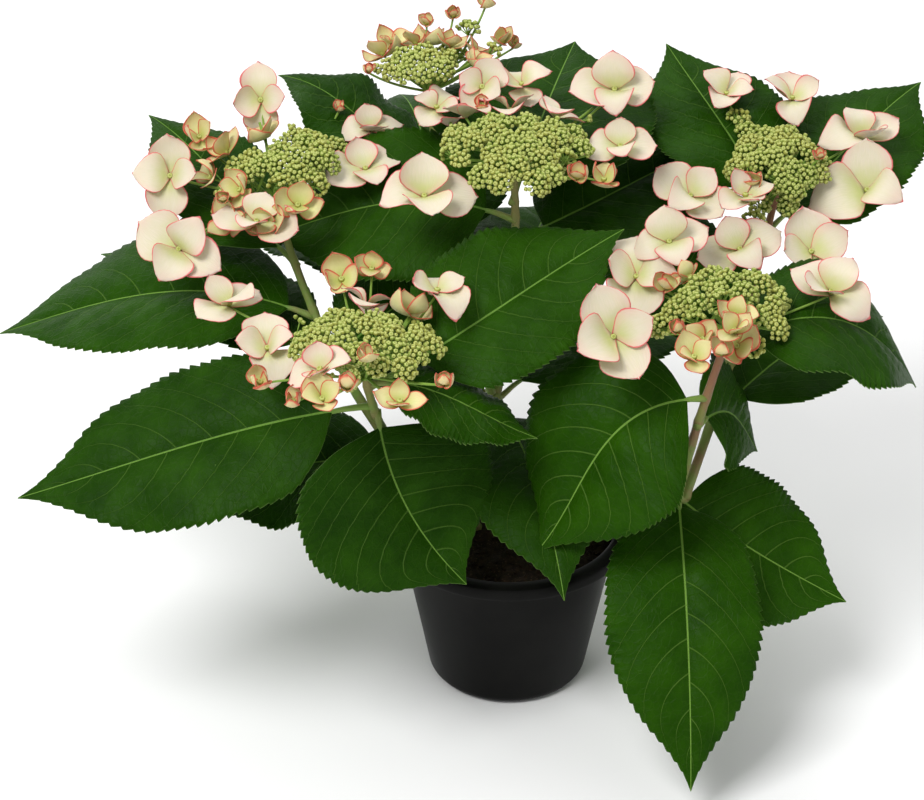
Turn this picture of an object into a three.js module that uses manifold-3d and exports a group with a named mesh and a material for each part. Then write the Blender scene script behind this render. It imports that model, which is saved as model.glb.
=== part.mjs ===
// A potted lacecap hydrangea: a black nursery pot with its compost, three woody stems that fork into
// six shoots, a flat flower head on each shoot, and large opposite leaves, each a thin blade.
// Millimetres, +Z up. The origin is the centre of the pot's underside, and the front of the plant is -Y.

import * as THREE from 'three';
import { mergeVertices } from 'three/addons/utils/BufferGeometryUtils.js';
import Module from 'manifold-3d';

// ---- driving dimensions ----

const POT = {
  height: 100,
  lipRadius: 72,
  lipHeight: 8,
  lipFlat: 3,
  topRadius: 63,
  baseRadius: 47,
  edgeRound: 7,
  wall: 2,
  floor: 4,
  segments: 24,
};
const FOOT_NOTCH = { count: 6, width: 20, height: 2.6, inner: 30, outer: 60, firstAngle: -68 };
const COMPOST = { top: 88, crown: 4, clearance: 0.35 };
const STEM_SIDES = 6;
const STEM_STEPS = 5;
const LEAF_THICKNESS = 1.6;
const PETIOLE = { share: 0.13, width: 3.4, thickness: 3 };
const LEAF_STATIONS = [0, 0.1, 0.26, 0.46, 0.68, 0.88, 1];
const FRONT_COLUMNS = [-1, -0.5, 0, 0.5, 1];
const REAR_COLUMNS = [-1, 0, 1];
const WIDEST = 0.42;
const TIP_WIDTH = 1.4;
const EDGE_DROOP = 8;
const HEAD_SIDES = 10;
const GAP = 0.35;

// Each limb runs from its foot through a knee to its crown, and thins from its foot to its crown.
const STEMS = {
  stem_left: { foot: [-22, 2, 90], knee: [-38, -8, 122], crown: [-58, -14, 152], radii: [4.3, 3.5] },
  stem_right: { foot: [33, 10, 92], knee: [62, 2, 104], crown: [95, -38, 142], radii: [4.5, 3.6] },
  stem_back: { foot: [2, 24, 90], knee: [-2, 36, 122], crown: [-8, 48, 158], radii: [4.3, 3.5] },
};
const SHOOTS = {
  shoot_left: { stem: 'stem_left', knee: [-104, 18, 205], crown: [-131, 60, 278], radii: [3.0, 2.1] },
  shoot_front: { stem: 'stem_left', knee: [-72, -46, 190], crown: [-77, -76, 243], radii: [3.0, 2.1] },
  shoot_right: { stem: 'stem_right', knee: [100, -54, 195], crown: [117, -44, 250], radii: [3.0, 2.1] },
  shoot_right_back: { stem: 'stem_right', knee: [128, 14, 205], crown: [152, 80, 277], radii: [3.0, 2.1] },
  shoot_centre: { stem: 'stem_back', knee: [4, 52, 225], crown: [0, 42, 302], radii: [3.0, 2.1] },
  shoot_back: { stem: 'stem_back', knee: [-34, 92, 235], crown: [-45, 124, 315], radii: [3.0, 2.1] },
};

// A head is a low dome of buds with large florets standing round it, each on its own stalk.
// A floret is [direction in degrees, reach from the centre, height over the crown, spread, tilt]:
// tilt is how far it turns from facing up towards facing the front.
const HEADS = {
  head_back: { shoot: 'shoot_back', radius: 36, rise: 12, lean: [90, 8], florets: [
    [139, 30, 22, 24, 18], [100, 14, 36, 14, 20],
    [41, 42, 42, 16, 16], [352, 34, 24, 20, 18], [25, 46, 22, 20, 14],
  ] },
  head_left: { shoot: 'shoot_left', radius: 44, rise: 13, lean: [225, 30], florets: [
    [104, 46, 40, 42, 60], [145, 56, 22, 30, 26], [181, 60, 14, 46, 50], [222, 70, -8, 54, 56],
    [257, 40, 6, 44, 14], [8, 50, 14, 44, 22], [42, 70, 20, 36, 10],
  ] },
  head_centre: { shoot: 'shoot_centre', radius: 50, rise: 14, lean: [270, 2], florets: [
    [212, 56, 0, 52, 26], [132, 62, 18, 34, 10], [110, 46, 32, 34, 50], [83, 56, 28, 38, 10],
    [42, 80, 26, 48, 36], [12, 62, 10, 36, 30], [350, 52, 0, 28, 10],
  ] },
  head_right_back: { shoot: 'shoot_right_back', radius: 34, rise: 12, lean: [270, 14], florets: [
    [116, 57, 32, 40, 8], [76, 60, 26, 44, 6], [30, 60, 14, 50, 4], [350, 52, 0, 58, 40],
    [206, 56, 4, 46, 34], [240, 42, 10, 34, 10], [246, 60, -14, 46, 34], [286, 56, -16, 52, 38],
  ] },
  head_right: { shoot: 'shoot_right', radius: 38, rise: 12, lean: [270, 16], florets: [
    [122, 58, 28, 42, 34], [142, 62, 12, 50, 22], [197, 67, 8, 58, 56], [150, 38, 16, 22, 24],
    [12, 53, 17, 48, 14], [266, 40, 22, 26, 20], [258, 46, 12, 20, 14], [242, 50, 9, 28, 24],
  ] },
  head_front: { shoot: 'shoot_front', radius: 46, rise: 14, lean: [270, 0], florets: [
    [146, 92, 12, 46, 4], [158, 58, 2, 42, 28], [246, 52, 12, 30, 22], [290, 54, 12, 28, 14],
    [47, 54, 27, 38, 4], [104, 64, 22, 30, 34],
  ] },
};
const HEAD_RIM_LIFT = 9;
const HEAD_EDGE = 7;
const FLORET = { thickness: 2, notch: 0.88, points: 8, stalk: 1, stalkFoot: 9 };

// A leaf leaves its limb at a share of the limb's length, sets off at the angle rise, and comes down to
// its tip at the angle fall. Roll turns the blade about its midrib, and stalk is its petiole's share.
const LEAVES = {
  leaf_hanging: { limb: 'stem_right', at: 0.97, tip: [98, -153, 24], rise: -20, fall: -66, width: 84, stalk: 0.04 },
  leaf_right_low: { limb: 'stem_right', at: 0.9, tip: [192, -50, 78], rise: -36, fall: -22, width: 92, roll: 30, stalk: 0.05 },
  leaf_over_pot: { limb: 'shoot_right', at: 0.66, tip: [15, -79, 131], rise: 14, fall: -50, width: 102, roll: -34, stalk: 0.1 },
  leaf_right_inner: { limb: 'shoot_right', at: 0.5, tip: [140, -10, 152], rise: 5, fall: -60, width: 60, roll: 60 },
  leaf_right_upper: { limb: 'shoot_right', at: 0.93, tip: [222, -30, 206], rise: 20, fall: -50, width: 100, roll: 8, fold: 28 },
  leaf_left_long: { limb: 'shoot_left', at: 0.58, tip: [-296, 58, 190], rise: 20, fall: -24, width: 100, roll: -12, stalk: 0.1 },
  leaf_left_low: { limb: 'shoot_front', at: 0.7, tip: [-269, -71, 160], rise: -8, fall: -18, width: 92, roll: -34 },
  leaf_front: { limb: 'shoot_front', at: 0.62, tip: [-24, -94, 121], rise: -76, fall: -22, width: 124, roll: 18, stalk: 0.1 },
  leaf_front_right: { limb: 'shoot_front', at: 0.9, tip: [13, -78, 203], rise: 12, fall: -24, width: 56, roll: 6 },
  leaf_middle: { limb: 'shoot_front', at: 0.88, tip: [62, 8, 284], rise: 14, fall: 14, width: 88, roll: 24, stalk: 0.2 },
  leaf_centre_left: { limb: 'shoot_centre', at: 0.78, tip: [-139, 63, 250], rise: 18, fall: -20, width: 100, roll: -30, fold: 16 },
  leaf_centre_right: { limb: 'shoot_centre', at: 0.7, tip: [147, 152, 280], rise: 2, fall: 2, width: 86, roll: 16 },
  leaf_top_back: { limb: 'shoot_centre', at: 0.87, tip: [40, 187, 320], rise: 20, fall: 14, width: 126 },
  leaf_back_right: { limb: 'shoot_right_back', at: 0.92, tip: [95, 176, 322], rise: 40, fall: 24, width: 92, isRear: true },
  leaf_top_left: { limb: 'shoot_back', at: 0.7, tip: [-135, 152, 312], rise: 24, fall: -10, width: 78, isRear: true },
  leaf_left_back: { limb: 'shoot_left', at: 0.76, tip: [-212, 144, 290], rise: 22, fall: 0, width: 76, isRear: true },
  leaf_right_far: { limb: 'shoot_right_back', at: 0.84, tip: [250, 182, 294], rise: 14, fall: 0, width: 84, roll: 10, isRear: true },
  leaf_under_left: { limb: 'stem_left', at: 0.96, tip: [-185, -28, 128], rise: 6, fall: -30, width: 92, roll: -10, isRear: true },
  leaf_under_front: { limb: 'stem_left', at: 0.6, tip: [-80, -74, 108], rise: 6, fall: -50, width: 60, isRear: true },
  leaf_pot_front: { limb: 'stem_back', at: 0.9, tip: [29, -98, 112], rise: 10, fall: -54, width: 80 },
  leaf_left_inner: { limb: 'shoot_left', at: 0.42, tip: [-18, 66, 226], rise: 30, fall: -16, width: 74, roll: 20, isRear: true },
  leaf_left_behind: { limb: 'shoot_left', at: 0.42, tip: [-243, 120, 210], rise: 14, fall: -16, width: 84, isRear: true },
  leaf_behind_middle: { limb: 'shoot_right_back', at: 0.42, tip: [60, 142, 238], rise: 26, fall: -6, width: 84, isRear: true },
  leaf_rear_left: { limb: 'stem_back', at: 0.9, tip: [-126, 168, 116], rise: 20, fall: -40, width: 88, isRear: true },
  leaf_rear_right: { limb: 'stem_back', at: 0.9, tip: [116, 184, 120], rise: 20, fall: -40, width: 92, isRear: true },
  leaf_rear_high: { limb: 'shoot_back', at: 0.45, tip: [-66, 258, 252], rise: 20, fall: -24, width: 90, isRear: true },
  leaf_rear_side_left: { limb: 'shoot_back', at: 0.25, tip: [-170, 190, 190], rise: 24, fall: -26, width: 80, isRear: true },
  leaf_rear_side_right: { limb: 'shoot_right_back', at: 0.25, tip: [226, 104, 176], rise: 18, fall: -26, width: 84, isRear: true },
  leaf_rear_middle: { limb: 'shoot_centre', at: 0.25, tip: [34, 214, 196], rise: 30, fall: -26, width: 84, isRear: true },
};

// ---- finishes ----

const potPlastic = new THREE.MeshStandardMaterial({ color: 0x232426, roughness: 0.5, metalness: 0 });
const compost = new THREE.MeshStandardMaterial({ color: 0x2a1d14, roughness: 0.95, metalness: 0 });
const wood = new THREE.MeshStandardMaterial({ color: 0x7d8a4a, roughness: 0.7, metalness: 0 });
const greenShoot = new THREE.MeshStandardMaterial({ color: 0x6f9a4a, roughness: 0.6, metalness: 0 });
const leafGreen = new THREE.MeshStandardMaterial({ color: 0x2f6a1f, roughness: 0.5, metalness: 0 });
const blossom = new THREE.MeshStandardMaterial({ color: 0xe6dfb8, roughness: 0.7, metalness: 0 });

// ---- shape helpers ----

const vec = (point) => new THREE.Vector3(...point);
const radians = THREE.MathUtils.degToRad;

// A closed body through rings of points, each ring with the same number of points, capped by fans.
function loft(rings) {
  const count = rings[0].length;
  const vertices = rings.flat();
  const triangles = [];
  for (let ring = 0; ring + 1 < rings.length; ring += 1) {
    for (let side = 0; side < count; side += 1) {
      const a = ring * count + side;
      const b = ring * count + (side + 1) % count;
      triangles.push(a, b, b + count, a, b + count, a + count);
    }
  }
  const lastRing = (rings.length - 1) * count;
  for (let side = 1; side + 1 < count; side += 1) {
    triangles.push(0, side + 1, side);
    triangles.push(lastRing, lastRing + side, lastRing + side + 1);
  }
  return geometryOf(vertices, triangles);
}

function geometryOf(vertices, triangles) {
  const geometry = new THREE.BufferGeometry();
  const positions = vertices.flatMap((point) => [point.x, point.y, point.z]);
  geometry.setAttribute('position', new THREE.Float32BufferAttribute(positions, 3));
  geometry.setIndex(triangles);
  return geometry;
}

// ---- limbs ----

function limbCurve({ foot, knee, crown }) {
  return new THREE.CatmullRomCurve3([vec(foot), vec(knee), vec(crown)], false, 'centripetal');
}

function taperedLimb(curve, [footRadius, crownRadius]) {
  const frames = curve.computeFrenetFrames(STEM_STEPS, false);
  const rings = [];
  for (let step = 0; step <= STEM_STEPS; step += 1) {
    const share = step / STEM_STEPS;
    const centre = curve.getPointAt(share);
    const radius = THREE.MathUtils.lerp(footRadius, crownRadius, share);
    const ring = [];
    for (let side = 0; side < STEM_SIDES; side += 1) {
      const turn = (2 * Math.PI * side) / STEM_SIDES;
      ring.push(centre.clone()
        .addScaledVector(frames.normals[step], radius * Math.cos(turn))
        .addScaledVector(frames.binormals[step], radius * Math.sin(turn)));
    }
    rings.push(ring);
  }
  return loft(rings);
}

// ---- leaves ----

// The blade's half width along its length: a broad rounded base and a long drawn-out tip.
function bladeShare(along) {
  if (along < WIDEST) return (1 - (1 - along / WIDEST) ** 2) ** 0.42;
  return Math.sin((Math.PI / 2) * ((1 - along) / (1 - WIDEST))) ** 1.3;
}

function leafMidrib(base, tip, rise, fall) {
  const chord = tip.clone().sub(base);
  const heading = new THREE.Vector3(chord.x, chord.y, 0).normalize();
  const handle = chord.length() * 0.38;
  const towards = (angle) => heading.clone().multiplyScalar(Math.cos(radians(angle)))
    .setZ(Math.sin(radians(angle)));
  return new THREE.CubicBezierCurve3(
    base,
    base.clone().addScaledVector(towards(rise), handle),
    tip.clone().addScaledVector(towards(fall), -handle),
    tip,
  );
}

function leafBlade({ base, tip, rise, fall, width, roll = 0, stalk = PETIOLE.share, fold = 10, isRear = false }) {
  const columns = isRear ? REAR_COLUMNS : FRONT_COLUMNS;
  const midrib = leafMidrib(base, tip, rise, fall);
  const level = new THREE.Vector3(tip.y - base.y, base.x - tip.x, 0).normalize();
  const stations = [0, ...LEAF_STATIONS.map((along) => stalk + (1 - stalk) * along)];
  const rings = stations.map((share, index) => {
    const along = LEAF_STATIONS[Math.max(index - 1, 0)];
    const isStalk = index <= 1;
    const narrowest = isStalk ? PETIOLE.width : TIP_WIDTH;
    const halfWidth = Math.max(width * (isStalk ? 0 : bladeShare(along)), narrowest) / 2;
    const halfThickness = (isStalk ? PETIOLE.thickness : LEAF_THICKNESS) / 2;
    const tangent = midrib.getTangentAt(share);
    const side = level.clone().applyAxisAngle(tangent, radians(roll));
    const normal = side.clone().cross(tangent).normalize();
    const centre = midrib.getPointAt(share);
    const edge = (column, offset) => {
      const across = column * halfWidth;
      const lift = Math.abs(across) * Math.tan(radians(fold)) - EDGE_DROOP * column * column * (halfWidth * 2 / width);
      return centre.clone().addScaledVector(side, across).addScaledVector(normal, lift + offset);
    };
    const top = columns.map((column) => edge(column, halfThickness));
    const underside = columns.map((column) => edge(-column, -halfThickness));
    return [...top, ...underside];
  });
  return loft(rings);
}

// ---- flower heads ----

// The buds' dome: a low uneven cushion over a shallow cone that stands on the crown.
function budDome(crown, { radius, rise, lean: [towards, leanAngle] }) {
  const hinge = new THREE.Vector3(-Math.sin(radians(towards)), Math.cos(radians(towards)), 0);
  const point = (angle, share, height) => {
    const uneven = 1 + 0.06 * Math.sin(3 * angle + radius) + 0.04 * Math.sin(5 * angle + crown.x);
    const reach = radius * share * uneven;
    const place = new THREE.Vector3(reach * Math.cos(angle), reach * Math.sin(angle), height);
    return place.applyAxisAngle(hinge, radians(leanAngle)).add(crown);
  };
  const levels = [
    [0.05, GAP], [0.6, HEAD_RIM_LIFT * 0.6], [1, HEAD_RIM_LIFT], [0.97, HEAD_RIM_LIFT + HEAD_EDGE],
    [0.62, HEAD_RIM_LIFT + HEAD_EDGE + rise * 0.62], [0.06, HEAD_RIM_LIFT + HEAD_EDGE + rise],
  ];
  const rings = levels.map(([share, height]) => Array.from({ length: HEAD_SIDES }, (_, side) => (
    point((2 * Math.PI * side) / HEAD_SIDES, share, height))));
  return loft(rings);
}

// A floret: a flat cross of four petals, notched between them, on a straight stalk from the crown.
function floretAt(crown, [direction, reach, lift, spread, tilt]) {
  const turn = radians(direction);
  const centre = crown.clone().add(new THREE.Vector3(reach * Math.cos(turn), reach * Math.sin(turn), lift));
  const up = new THREE.Vector3(0, -Math.sin(radians(tilt)), Math.cos(radians(tilt)));
  const across = new THREE.Vector3(1, 0, 0);
  const along = up.clone().cross(across);
  const outline = (offset) => Array.from({ length: FLORET.points }, (_, index) => {
    const angle = (2 * Math.PI * index) / FLORET.points + turn;
    const radius = (spread / 2) * (index % 2 ? FLORET.notch : 1);
    return centre.clone()
      .addScaledVector(across, radius * Math.cos(angle))
      .addScaledVector(along, radius * Math.sin(angle))
      .addScaledVector(up, offset);
  });
  const petals = loft([outline(-FLORET.thickness / 2), outline(FLORET.thickness / 2)]);
  const foot = crown.clone().add(new THREE.Vector3(0, 0, FLORET.stalkFoot));
  const length = centre.distanceTo(foot);
  const stalk = new THREE.CylinderGeometry(FLORET.stalk, FLORET.stalk, length, 3).rotateX(Math.PI / 2);
  stalk.lookAt(centre.clone().sub(foot));
  stalk.translate((centre.x + foot.x) / 2, (centre.y + foot.y) / 2, (centre.z + foot.z) / 2);
  return toSolid(petals).add(toSolid(stalk));
}

function flowerHead(crown, head) {
  const florets = head.florets.map((floret) => floretAt(crown, floret));
  const whole = florets.reduce((solid, floret) => solid.add(floret), toSolid(budDome(crown, head)));
  return toGeometry(whole);
}

// ---- pot and compost ----

// A lathe turns about Y, so its profile's height is brought round to Z.
function turned(profile) {
  const geometry = new THREE.LatheGeometry(profile.map(([r, z]) => new THREE.Vector2(r, z)), POT.segments);
  return geometry.rotateX(Math.PI / 2);
}

function wallRadius(z) {
  const share = (z - POT.edgeRound) / (POT.height - POT.lipHeight - POT.edgeRound);
  return THREE.MathUtils.lerp(POT.baseRadius, POT.topRadius, Math.max(0, share));
}

function potShell() {
  const lipFoot = POT.height - POT.lipHeight;
  const inner = (z) => wallRadius(z) - POT.wall;
  const rounding = [0, 30, 60, 90].map((angle) => [
    POT.baseRadius - POT.edgeRound * (1 - Math.sin(radians(angle))),
    POT.edgeRound * (1 - Math.cos(radians(angle))),
  ]);
  return turned([
    [0, 0],
    ...rounding,
    [POT.topRadius, lipFoot],
    [POT.lipRadius - POT.lipFlat, lipFoot],
    [POT.lipRadius, lipFoot + POT.lipFlat],
    [POT.lipRadius, POT.height - POT.lipFlat],
    [POT.lipRadius - POT.lipFlat, POT.height],
    [inner(lipFoot) + POT.lipFlat, POT.height],
    [inner(lipFoot), lipFoot],
    [inner(POT.floor + POT.wall), POT.floor + POT.wall],
    [inner(POT.floor) - POT.wall, POT.floor],
    [0, POT.floor],
  ]);
}

function footNotches() {
  const length = FOOT_NOTCH.outer - FOOT_NOTCH.inner;
  return Array.from({ length: FOOT_NOTCH.count }, (_, index) => {
    const angle = radians(FOOT_NOTCH.firstAngle + (360 * index) / FOOT_NOTCH.count);
    return new THREE.BoxGeometry(length, FOOT_NOTCH.width, 2 * FOOT_NOTCH.height)
      .translate(FOOT_NOTCH.inner + length / 2, 0, 0)
      .rotateZ(angle);
  });
}

function compostFill() {
  const bottom = POT.floor + COMPOST.clearance;
  const radius = (z) => wallRadius(z) - POT.wall - COMPOST.clearance;
  const crown = [0.66, 0.33, 0].map((share) => [
    radius(COMPOST.top) * share,
    COMPOST.top + COMPOST.crown * (1 - share * share),
  ]);
  return turned([
    [0, bottom],
    [radius(bottom) - 2 * POT.wall, bottom],
    [radius(bottom + 2 * POT.wall), bottom + 2 * POT.wall],
    [radius(COMPOST.top), COMPOST.top],
    ...crown,
  ]);
}

// ---- cutting with manifold ----

const wasm = await Module();
wasm.setup();

function welded(geometry) {
  const bare = geometry.clone();
  bare.deleteAttribute('normal');
  bare.deleteAttribute('uv');
  return mergeVertices(bare);
}

function toSolid(geometry) {
  const bare = welded(geometry);
  return new wasm.Manifold(new wasm.Mesh({
    numProp: 3,
    vertProperties: new Float32Array(bare.attributes.position.array),
    triVerts: new Uint32Array(bare.index.array),
  }));
}

function toGeometry(solid) {
  const { vertProperties, triVerts } = solid.getMesh();
  const geometry = new THREE.BufferGeometry();
  geometry.setAttribute('position', new THREE.BufferAttribute(new Float32Array(vertProperties), 3));
  geometry.setIndex(new THREE.BufferAttribute(new Uint32Array(triVerts), 1));
  return geometry;
}

// The same body with its skin moved out by the gap that neighbours keep.
function grown(geometry) {
  const bare = welded(geometry);
  bare.computeVertexNormals();
  const { position, normal } = bare.attributes;
  for (let index = 0; index < position.count; index += 1) {
    position.setXYZ(
      index,
      position.getX(index) + GAP * normal.getX(index),
      position.getY(index) + GAP * normal.getY(index),
      position.getZ(index) + GAP * normal.getZ(index),
    );
  }
  return bare;
}

function boxesMeet(first, second) {
  first.computeBoundingBox();
  second.computeBoundingBox();
  return first.boundingBox.clone().expandByScalar(GAP).intersectsBox(second.boundingBox);
}

// What is left of a body once it is cut clear of its neighbours: its largest piece.
function clearedOf(geometry, neighbours) {
  const near = neighbours.filter((neighbour) => boxesMeet(geometry, neighbour));
  const whole = toSolid(geometry);
  const cut = near.reduce((solid, neighbour) => solid.subtract(toSolid(grown(neighbour))), whole);
  if (cut.numTri() === whole.numTri() && cut.volume() === whole.volume()) return geometry;
  const pieces = cut.decompose().sort((a, b) => b.volume() - a.volume());
  return toGeometry(pieces[0]);
}

// ---- assembly ----

const plant = new THREE.Group();
const shapes = {};

// Sets a body among those already placed, cut clear of the named ones; later bodies are cut
// clear of its whole shape.
function place(name, geometry, material, neighbours) {
  const near = neighbours.map((neighbour) => shapes[neighbour]);
  const mesh = new THREE.Mesh(clearedOf(geometry, near), material);
  mesh.name = name;
  plant.add(mesh);
  shapes[name] = geometry;
}

const notched = footNotches().reduce((solid, notch) => solid.subtract(toSolid(notch)), toSolid(potShell()));
place('pot', toGeometry(notched), potPlastic, []);
place('compost', compostFill(), compost, []);

const curves = {};
for (const [name, stem] of Object.entries(STEMS)) {
  curves[name] = limbCurve(stem);
  place(name, taperedLimb(curves[name], stem.radii), wood, ['pot', 'compost']);
}
for (const [name, shoot] of Object.entries(SHOOTS)) {
  curves[name] = limbCurve({ foot: STEMS[shoot.stem].crown, knee: shoot.knee, crown: shoot.crown });
  place(name, taperedLimb(curves[name], shoot.radii), greenShoot, Object.keys(shapes));
}

const limbs = { ...STEMS, ...SHOOTS };
for (const [name, leaf] of Object.entries(LEAVES)) {
  const [footRadius, crownRadius] = limbs[leaf.limb].radii;
  const tip = vec(leaf.tip);
  const joint = curves[leaf.limb].getPointAt(leaf.at);
  const outward = tip.clone().sub(joint).setZ(0).normalize();
  const base = joint.addScaledVector(outward, THREE.MathUtils.lerp(footRadius, crownRadius, leaf.at) + 2 * GAP);
  place(name, leafBlade({ ...leaf, base, tip }), leafGreen, Object.keys(shapes));
}

for (const [name, head] of Object.entries(HEADS)) {
  const crown = vec(SHOOTS[head.shoot].crown);
  place(name, flowerHead(crown, head), blossom, Object.keys(shapes));
}

export default plant;
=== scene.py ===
"""A potted lacecap hydrangea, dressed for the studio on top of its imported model.

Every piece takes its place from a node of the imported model: a leaf from its blade's middle line
and width, a flower head from its dome and its florets' plates, a limb from its centre line.
Metres throughout, in the model's own frame: +Z is up and the front of the plant is -Y.
"""

import logging
import math
from collections.abc import Sequence
from dataclasses import dataclass, field
from enum import Enum

import bpy
import numpy as np
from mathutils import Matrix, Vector
from mathutils.bvhtree import BVHTree


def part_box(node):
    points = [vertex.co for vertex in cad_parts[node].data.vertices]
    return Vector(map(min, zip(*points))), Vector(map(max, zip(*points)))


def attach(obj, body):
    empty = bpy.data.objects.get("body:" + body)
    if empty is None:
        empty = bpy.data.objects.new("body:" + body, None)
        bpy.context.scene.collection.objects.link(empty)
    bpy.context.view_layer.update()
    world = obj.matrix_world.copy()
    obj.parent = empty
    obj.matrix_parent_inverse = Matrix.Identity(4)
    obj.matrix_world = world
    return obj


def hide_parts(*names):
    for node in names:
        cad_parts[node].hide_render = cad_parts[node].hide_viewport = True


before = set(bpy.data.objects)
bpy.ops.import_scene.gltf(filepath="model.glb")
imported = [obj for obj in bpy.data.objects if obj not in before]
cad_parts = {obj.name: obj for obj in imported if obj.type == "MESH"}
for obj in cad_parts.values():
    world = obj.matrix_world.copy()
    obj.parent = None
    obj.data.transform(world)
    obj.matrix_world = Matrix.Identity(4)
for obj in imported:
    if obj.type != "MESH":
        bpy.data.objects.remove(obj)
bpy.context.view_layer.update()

log = logging.getLogger("hydrangea")

Array = np.ndarray
Colour = tuple[float, float, float]
Socket = bpy.types.NodeSocket
Piece = bpy.types.Object

MM = 0.001
UP = np.array([0.0, 0.0, 1.0])
GOLDEN_TURN = 2.39996

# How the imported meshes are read: corners closer than WELD are one, the corners round a leaf's foot or
# tip lie within KNOT of each other, and the triangles of one plate face the same way, level to FLATNESS,
# within PLATE_REACH.
WELD = 0.002 * MM
KNOT = 3.2 * MM
FLATNESS = 0.1 * MM
SAME_WAY = 0.9998
PLATE_REACH = 45 * MM
TINY = 1e-12


# ---- small mathematics ----


def unit(vector: Array) -> Array:
    """Scales vectors to a length of one."""
    return vector / np.maximum(np.linalg.norm(vector, axis=-1, keepdims=True), TINY)


def smooth(low: float, high: float, value: Array | float) -> Array | float:
    """Rises smoothly from 0 at low to 1 at high."""
    share = np.clip((np.asarray(value) - low) / (high - low), 0.0, 1.0)
    return share * share * (3 - 2 * share)


def through(stops: Sequence[tuple[float, float]], share: Array) -> Array:
    """Reads a smooth line that passes through the given stops.

    Args:
        stops: (place, value) pairs in rising order of place.
        share: places to read the line at.

    Returns:
        The line's value at each place.
    """
    places, values = np.array(stops, float).T
    slopes = np.gradient(values, places)
    index = np.clip(np.searchsorted(places, share, side="right") - 1, 0, len(places) - 2)
    span = places[index + 1] - places[index]
    t = np.clip((share - places[index]) / span, 0.0, 1.0)
    start = (1 + 2 * t) * (1 - t) ** 2 * values[index] + t * (1 - t) ** 2 * span * slopes[index]
    end = t * t * (3 - 2 * t) * values[index + 1] + t * t * (t - 1) * span * slopes[index + 1]
    return start + end


def bezier(corners: Sequence[Array], steps: int) -> Array:
    """Points along a Bezier curve of two to four corner points.

    Args:
        corners: the curve's corner points.
        steps: how many spans the curve is drawn with.

    Returns:
        An array of steps + 1 points.
    """
    t = np.linspace(0.0, 1.0, steps + 1)[:, None]
    degree = len(corners) - 1
    terms = [math.comb(degree, k) * t**k * (1 - t) ** (degree - k) * np.asarray(corner)
             for k, corner in enumerate(corners)]
    return sum(terms)


def evenly(line: Array, count: int) -> Array:
    """Redraws a line with points spaced evenly along it.

    Args:
        line: the line's points.
        count: how many points to draw it with.

    Returns:
        The new points.
    """
    travelled = np.concatenate([[0.0], np.cumsum(np.linalg.norm(np.diff(line, axis=0), axis=1))])
    wanted = np.linspace(0.0, travelled[-1], count)
    return np.stack([np.interp(wanted, travelled, line[:, axis]) for axis in range(3)], axis=1)


def turned(vector: Array, axis: Array, angle: Array | float) -> Array:
    """Turns a vector that stands square to a unit axis about it by an angle in radians."""
    angle = np.asarray(angle)[..., None]
    return vector * np.cos(angle) + np.cross(axis, vector) * np.sin(angle)


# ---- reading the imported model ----


@dataclass(frozen=True)
class Solid:
    """The merged corners and triangles of one CAD node."""

    points: Array
    triangles: Array

    @classmethod
    def of(cls, node: str) -> "Solid":
        """Reads a node's mesh and merges the corners that its loose triangles share.

        Args:
            node: the CAD node's name.

        Returns:
            The node's solid.
        """
        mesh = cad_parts[node].data
        corners = np.zeros(len(mesh.vertices) * 3)
        mesh.vertices.foreach_get("co", corners)
        mesh.calc_loop_triangles()
        triangles = np.zeros(len(mesh.loop_triangles) * 3, int)
        mesh.loop_triangles.foreach_get("vertices", triangles)
        keys = np.round(corners.reshape(-1, 3) / WELD).astype(np.int64)
        kept, merged = np.unique(keys, axis=0, return_inverse=True)
        return cls(kept * WELD, merged.reshape(-1)[triangles].reshape(-1, 3))

    def section(self, origin: Array, normal: Array) -> Array:
        """Finds where the solid's edges cross a plane.

        Args:
            origin: a point on the plane.
            normal: the plane's normal.

        Returns:
            The crossing points.
        """
        edges = np.unique(np.sort(self.triangles[:, [0, 1, 1, 2, 2, 0]].reshape(-1, 2)), axis=0)
        height = (self.points - origin) @ normal
        first, second = height[edges[:, 0]], height[edges[:, 1]]
        cut = first * second < 0
        share = (first[cut] / (first[cut] - second[cut]))[:, None]
        start, end = self.points[edges[cut, 0]], self.points[edges[cut, 1]]
        return start + share * (end - start)

    def normals(self) -> tuple[Array, Array, Array]:
        """Measures every triangle.

        Returns:
            The outward normals, the areas and the centres.
        """
        a, b, c = (self.points[self.triangles[:, k]] for k in range(3))
        cross = np.cross(b - a, c - a)
        size = np.linalg.norm(cross, axis=1)
        return cross / np.maximum(size, 1e-15)[:, None], size / 2, (a + b + c) / 3

    def plates(self, least: int, area: float) -> list[tuple[Array, Array]]:
        """Finds the large flat faces.

        Args:
            least: the fewest triangles that a flat face is made of.
            area: its least area.

        Returns:
            For each face its normal and its triangles' numbers.
        """
        normals, areas, centres = self.normals()
        offsets = np.einsum("ij,ij->i", normals, centres)
        left = areas > 1e-9
        found = []
        for seed in np.argsort(-areas):
            if not left[seed]:
                continue
            level = abs(offsets - offsets[seed]) < FLATNESS
            flat = left & level & (normals @ normals[seed] > SAME_WAY)
            reach = np.linalg.norm(centres - centres[seed], axis=1) < PLATE_REACH
            members = np.flatnonzero(flat & reach)
            left[members] = False
            if len(members) >= least and areas[members].sum() > area:
                found.append((normals[seed], members))
        return found


def limb_names() -> list[str]:
    """The nodes of the stems and shoots."""
    return sorted(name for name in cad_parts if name.startswith(("stem_", "shoot_")))


def surface_of(nodes: Sequence[str]) -> BVHTree:
    """Makes a search tree over the surfaces of several nodes.

    Args:
        nodes: the nodes' names.

    Returns:
        The search tree.
    """
    points: list[Vector] = []
    faces: list[tuple[int, ...]] = []
    for node in nodes:
        solid = Solid.of(node)
        faces += [tuple(corner + len(points) for corner in face) for face in solid.triangles.tolist()]
        points += [Vector(point) for point in solid.points]
    return BVHTree.FromPolygons(points, faces)


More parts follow.
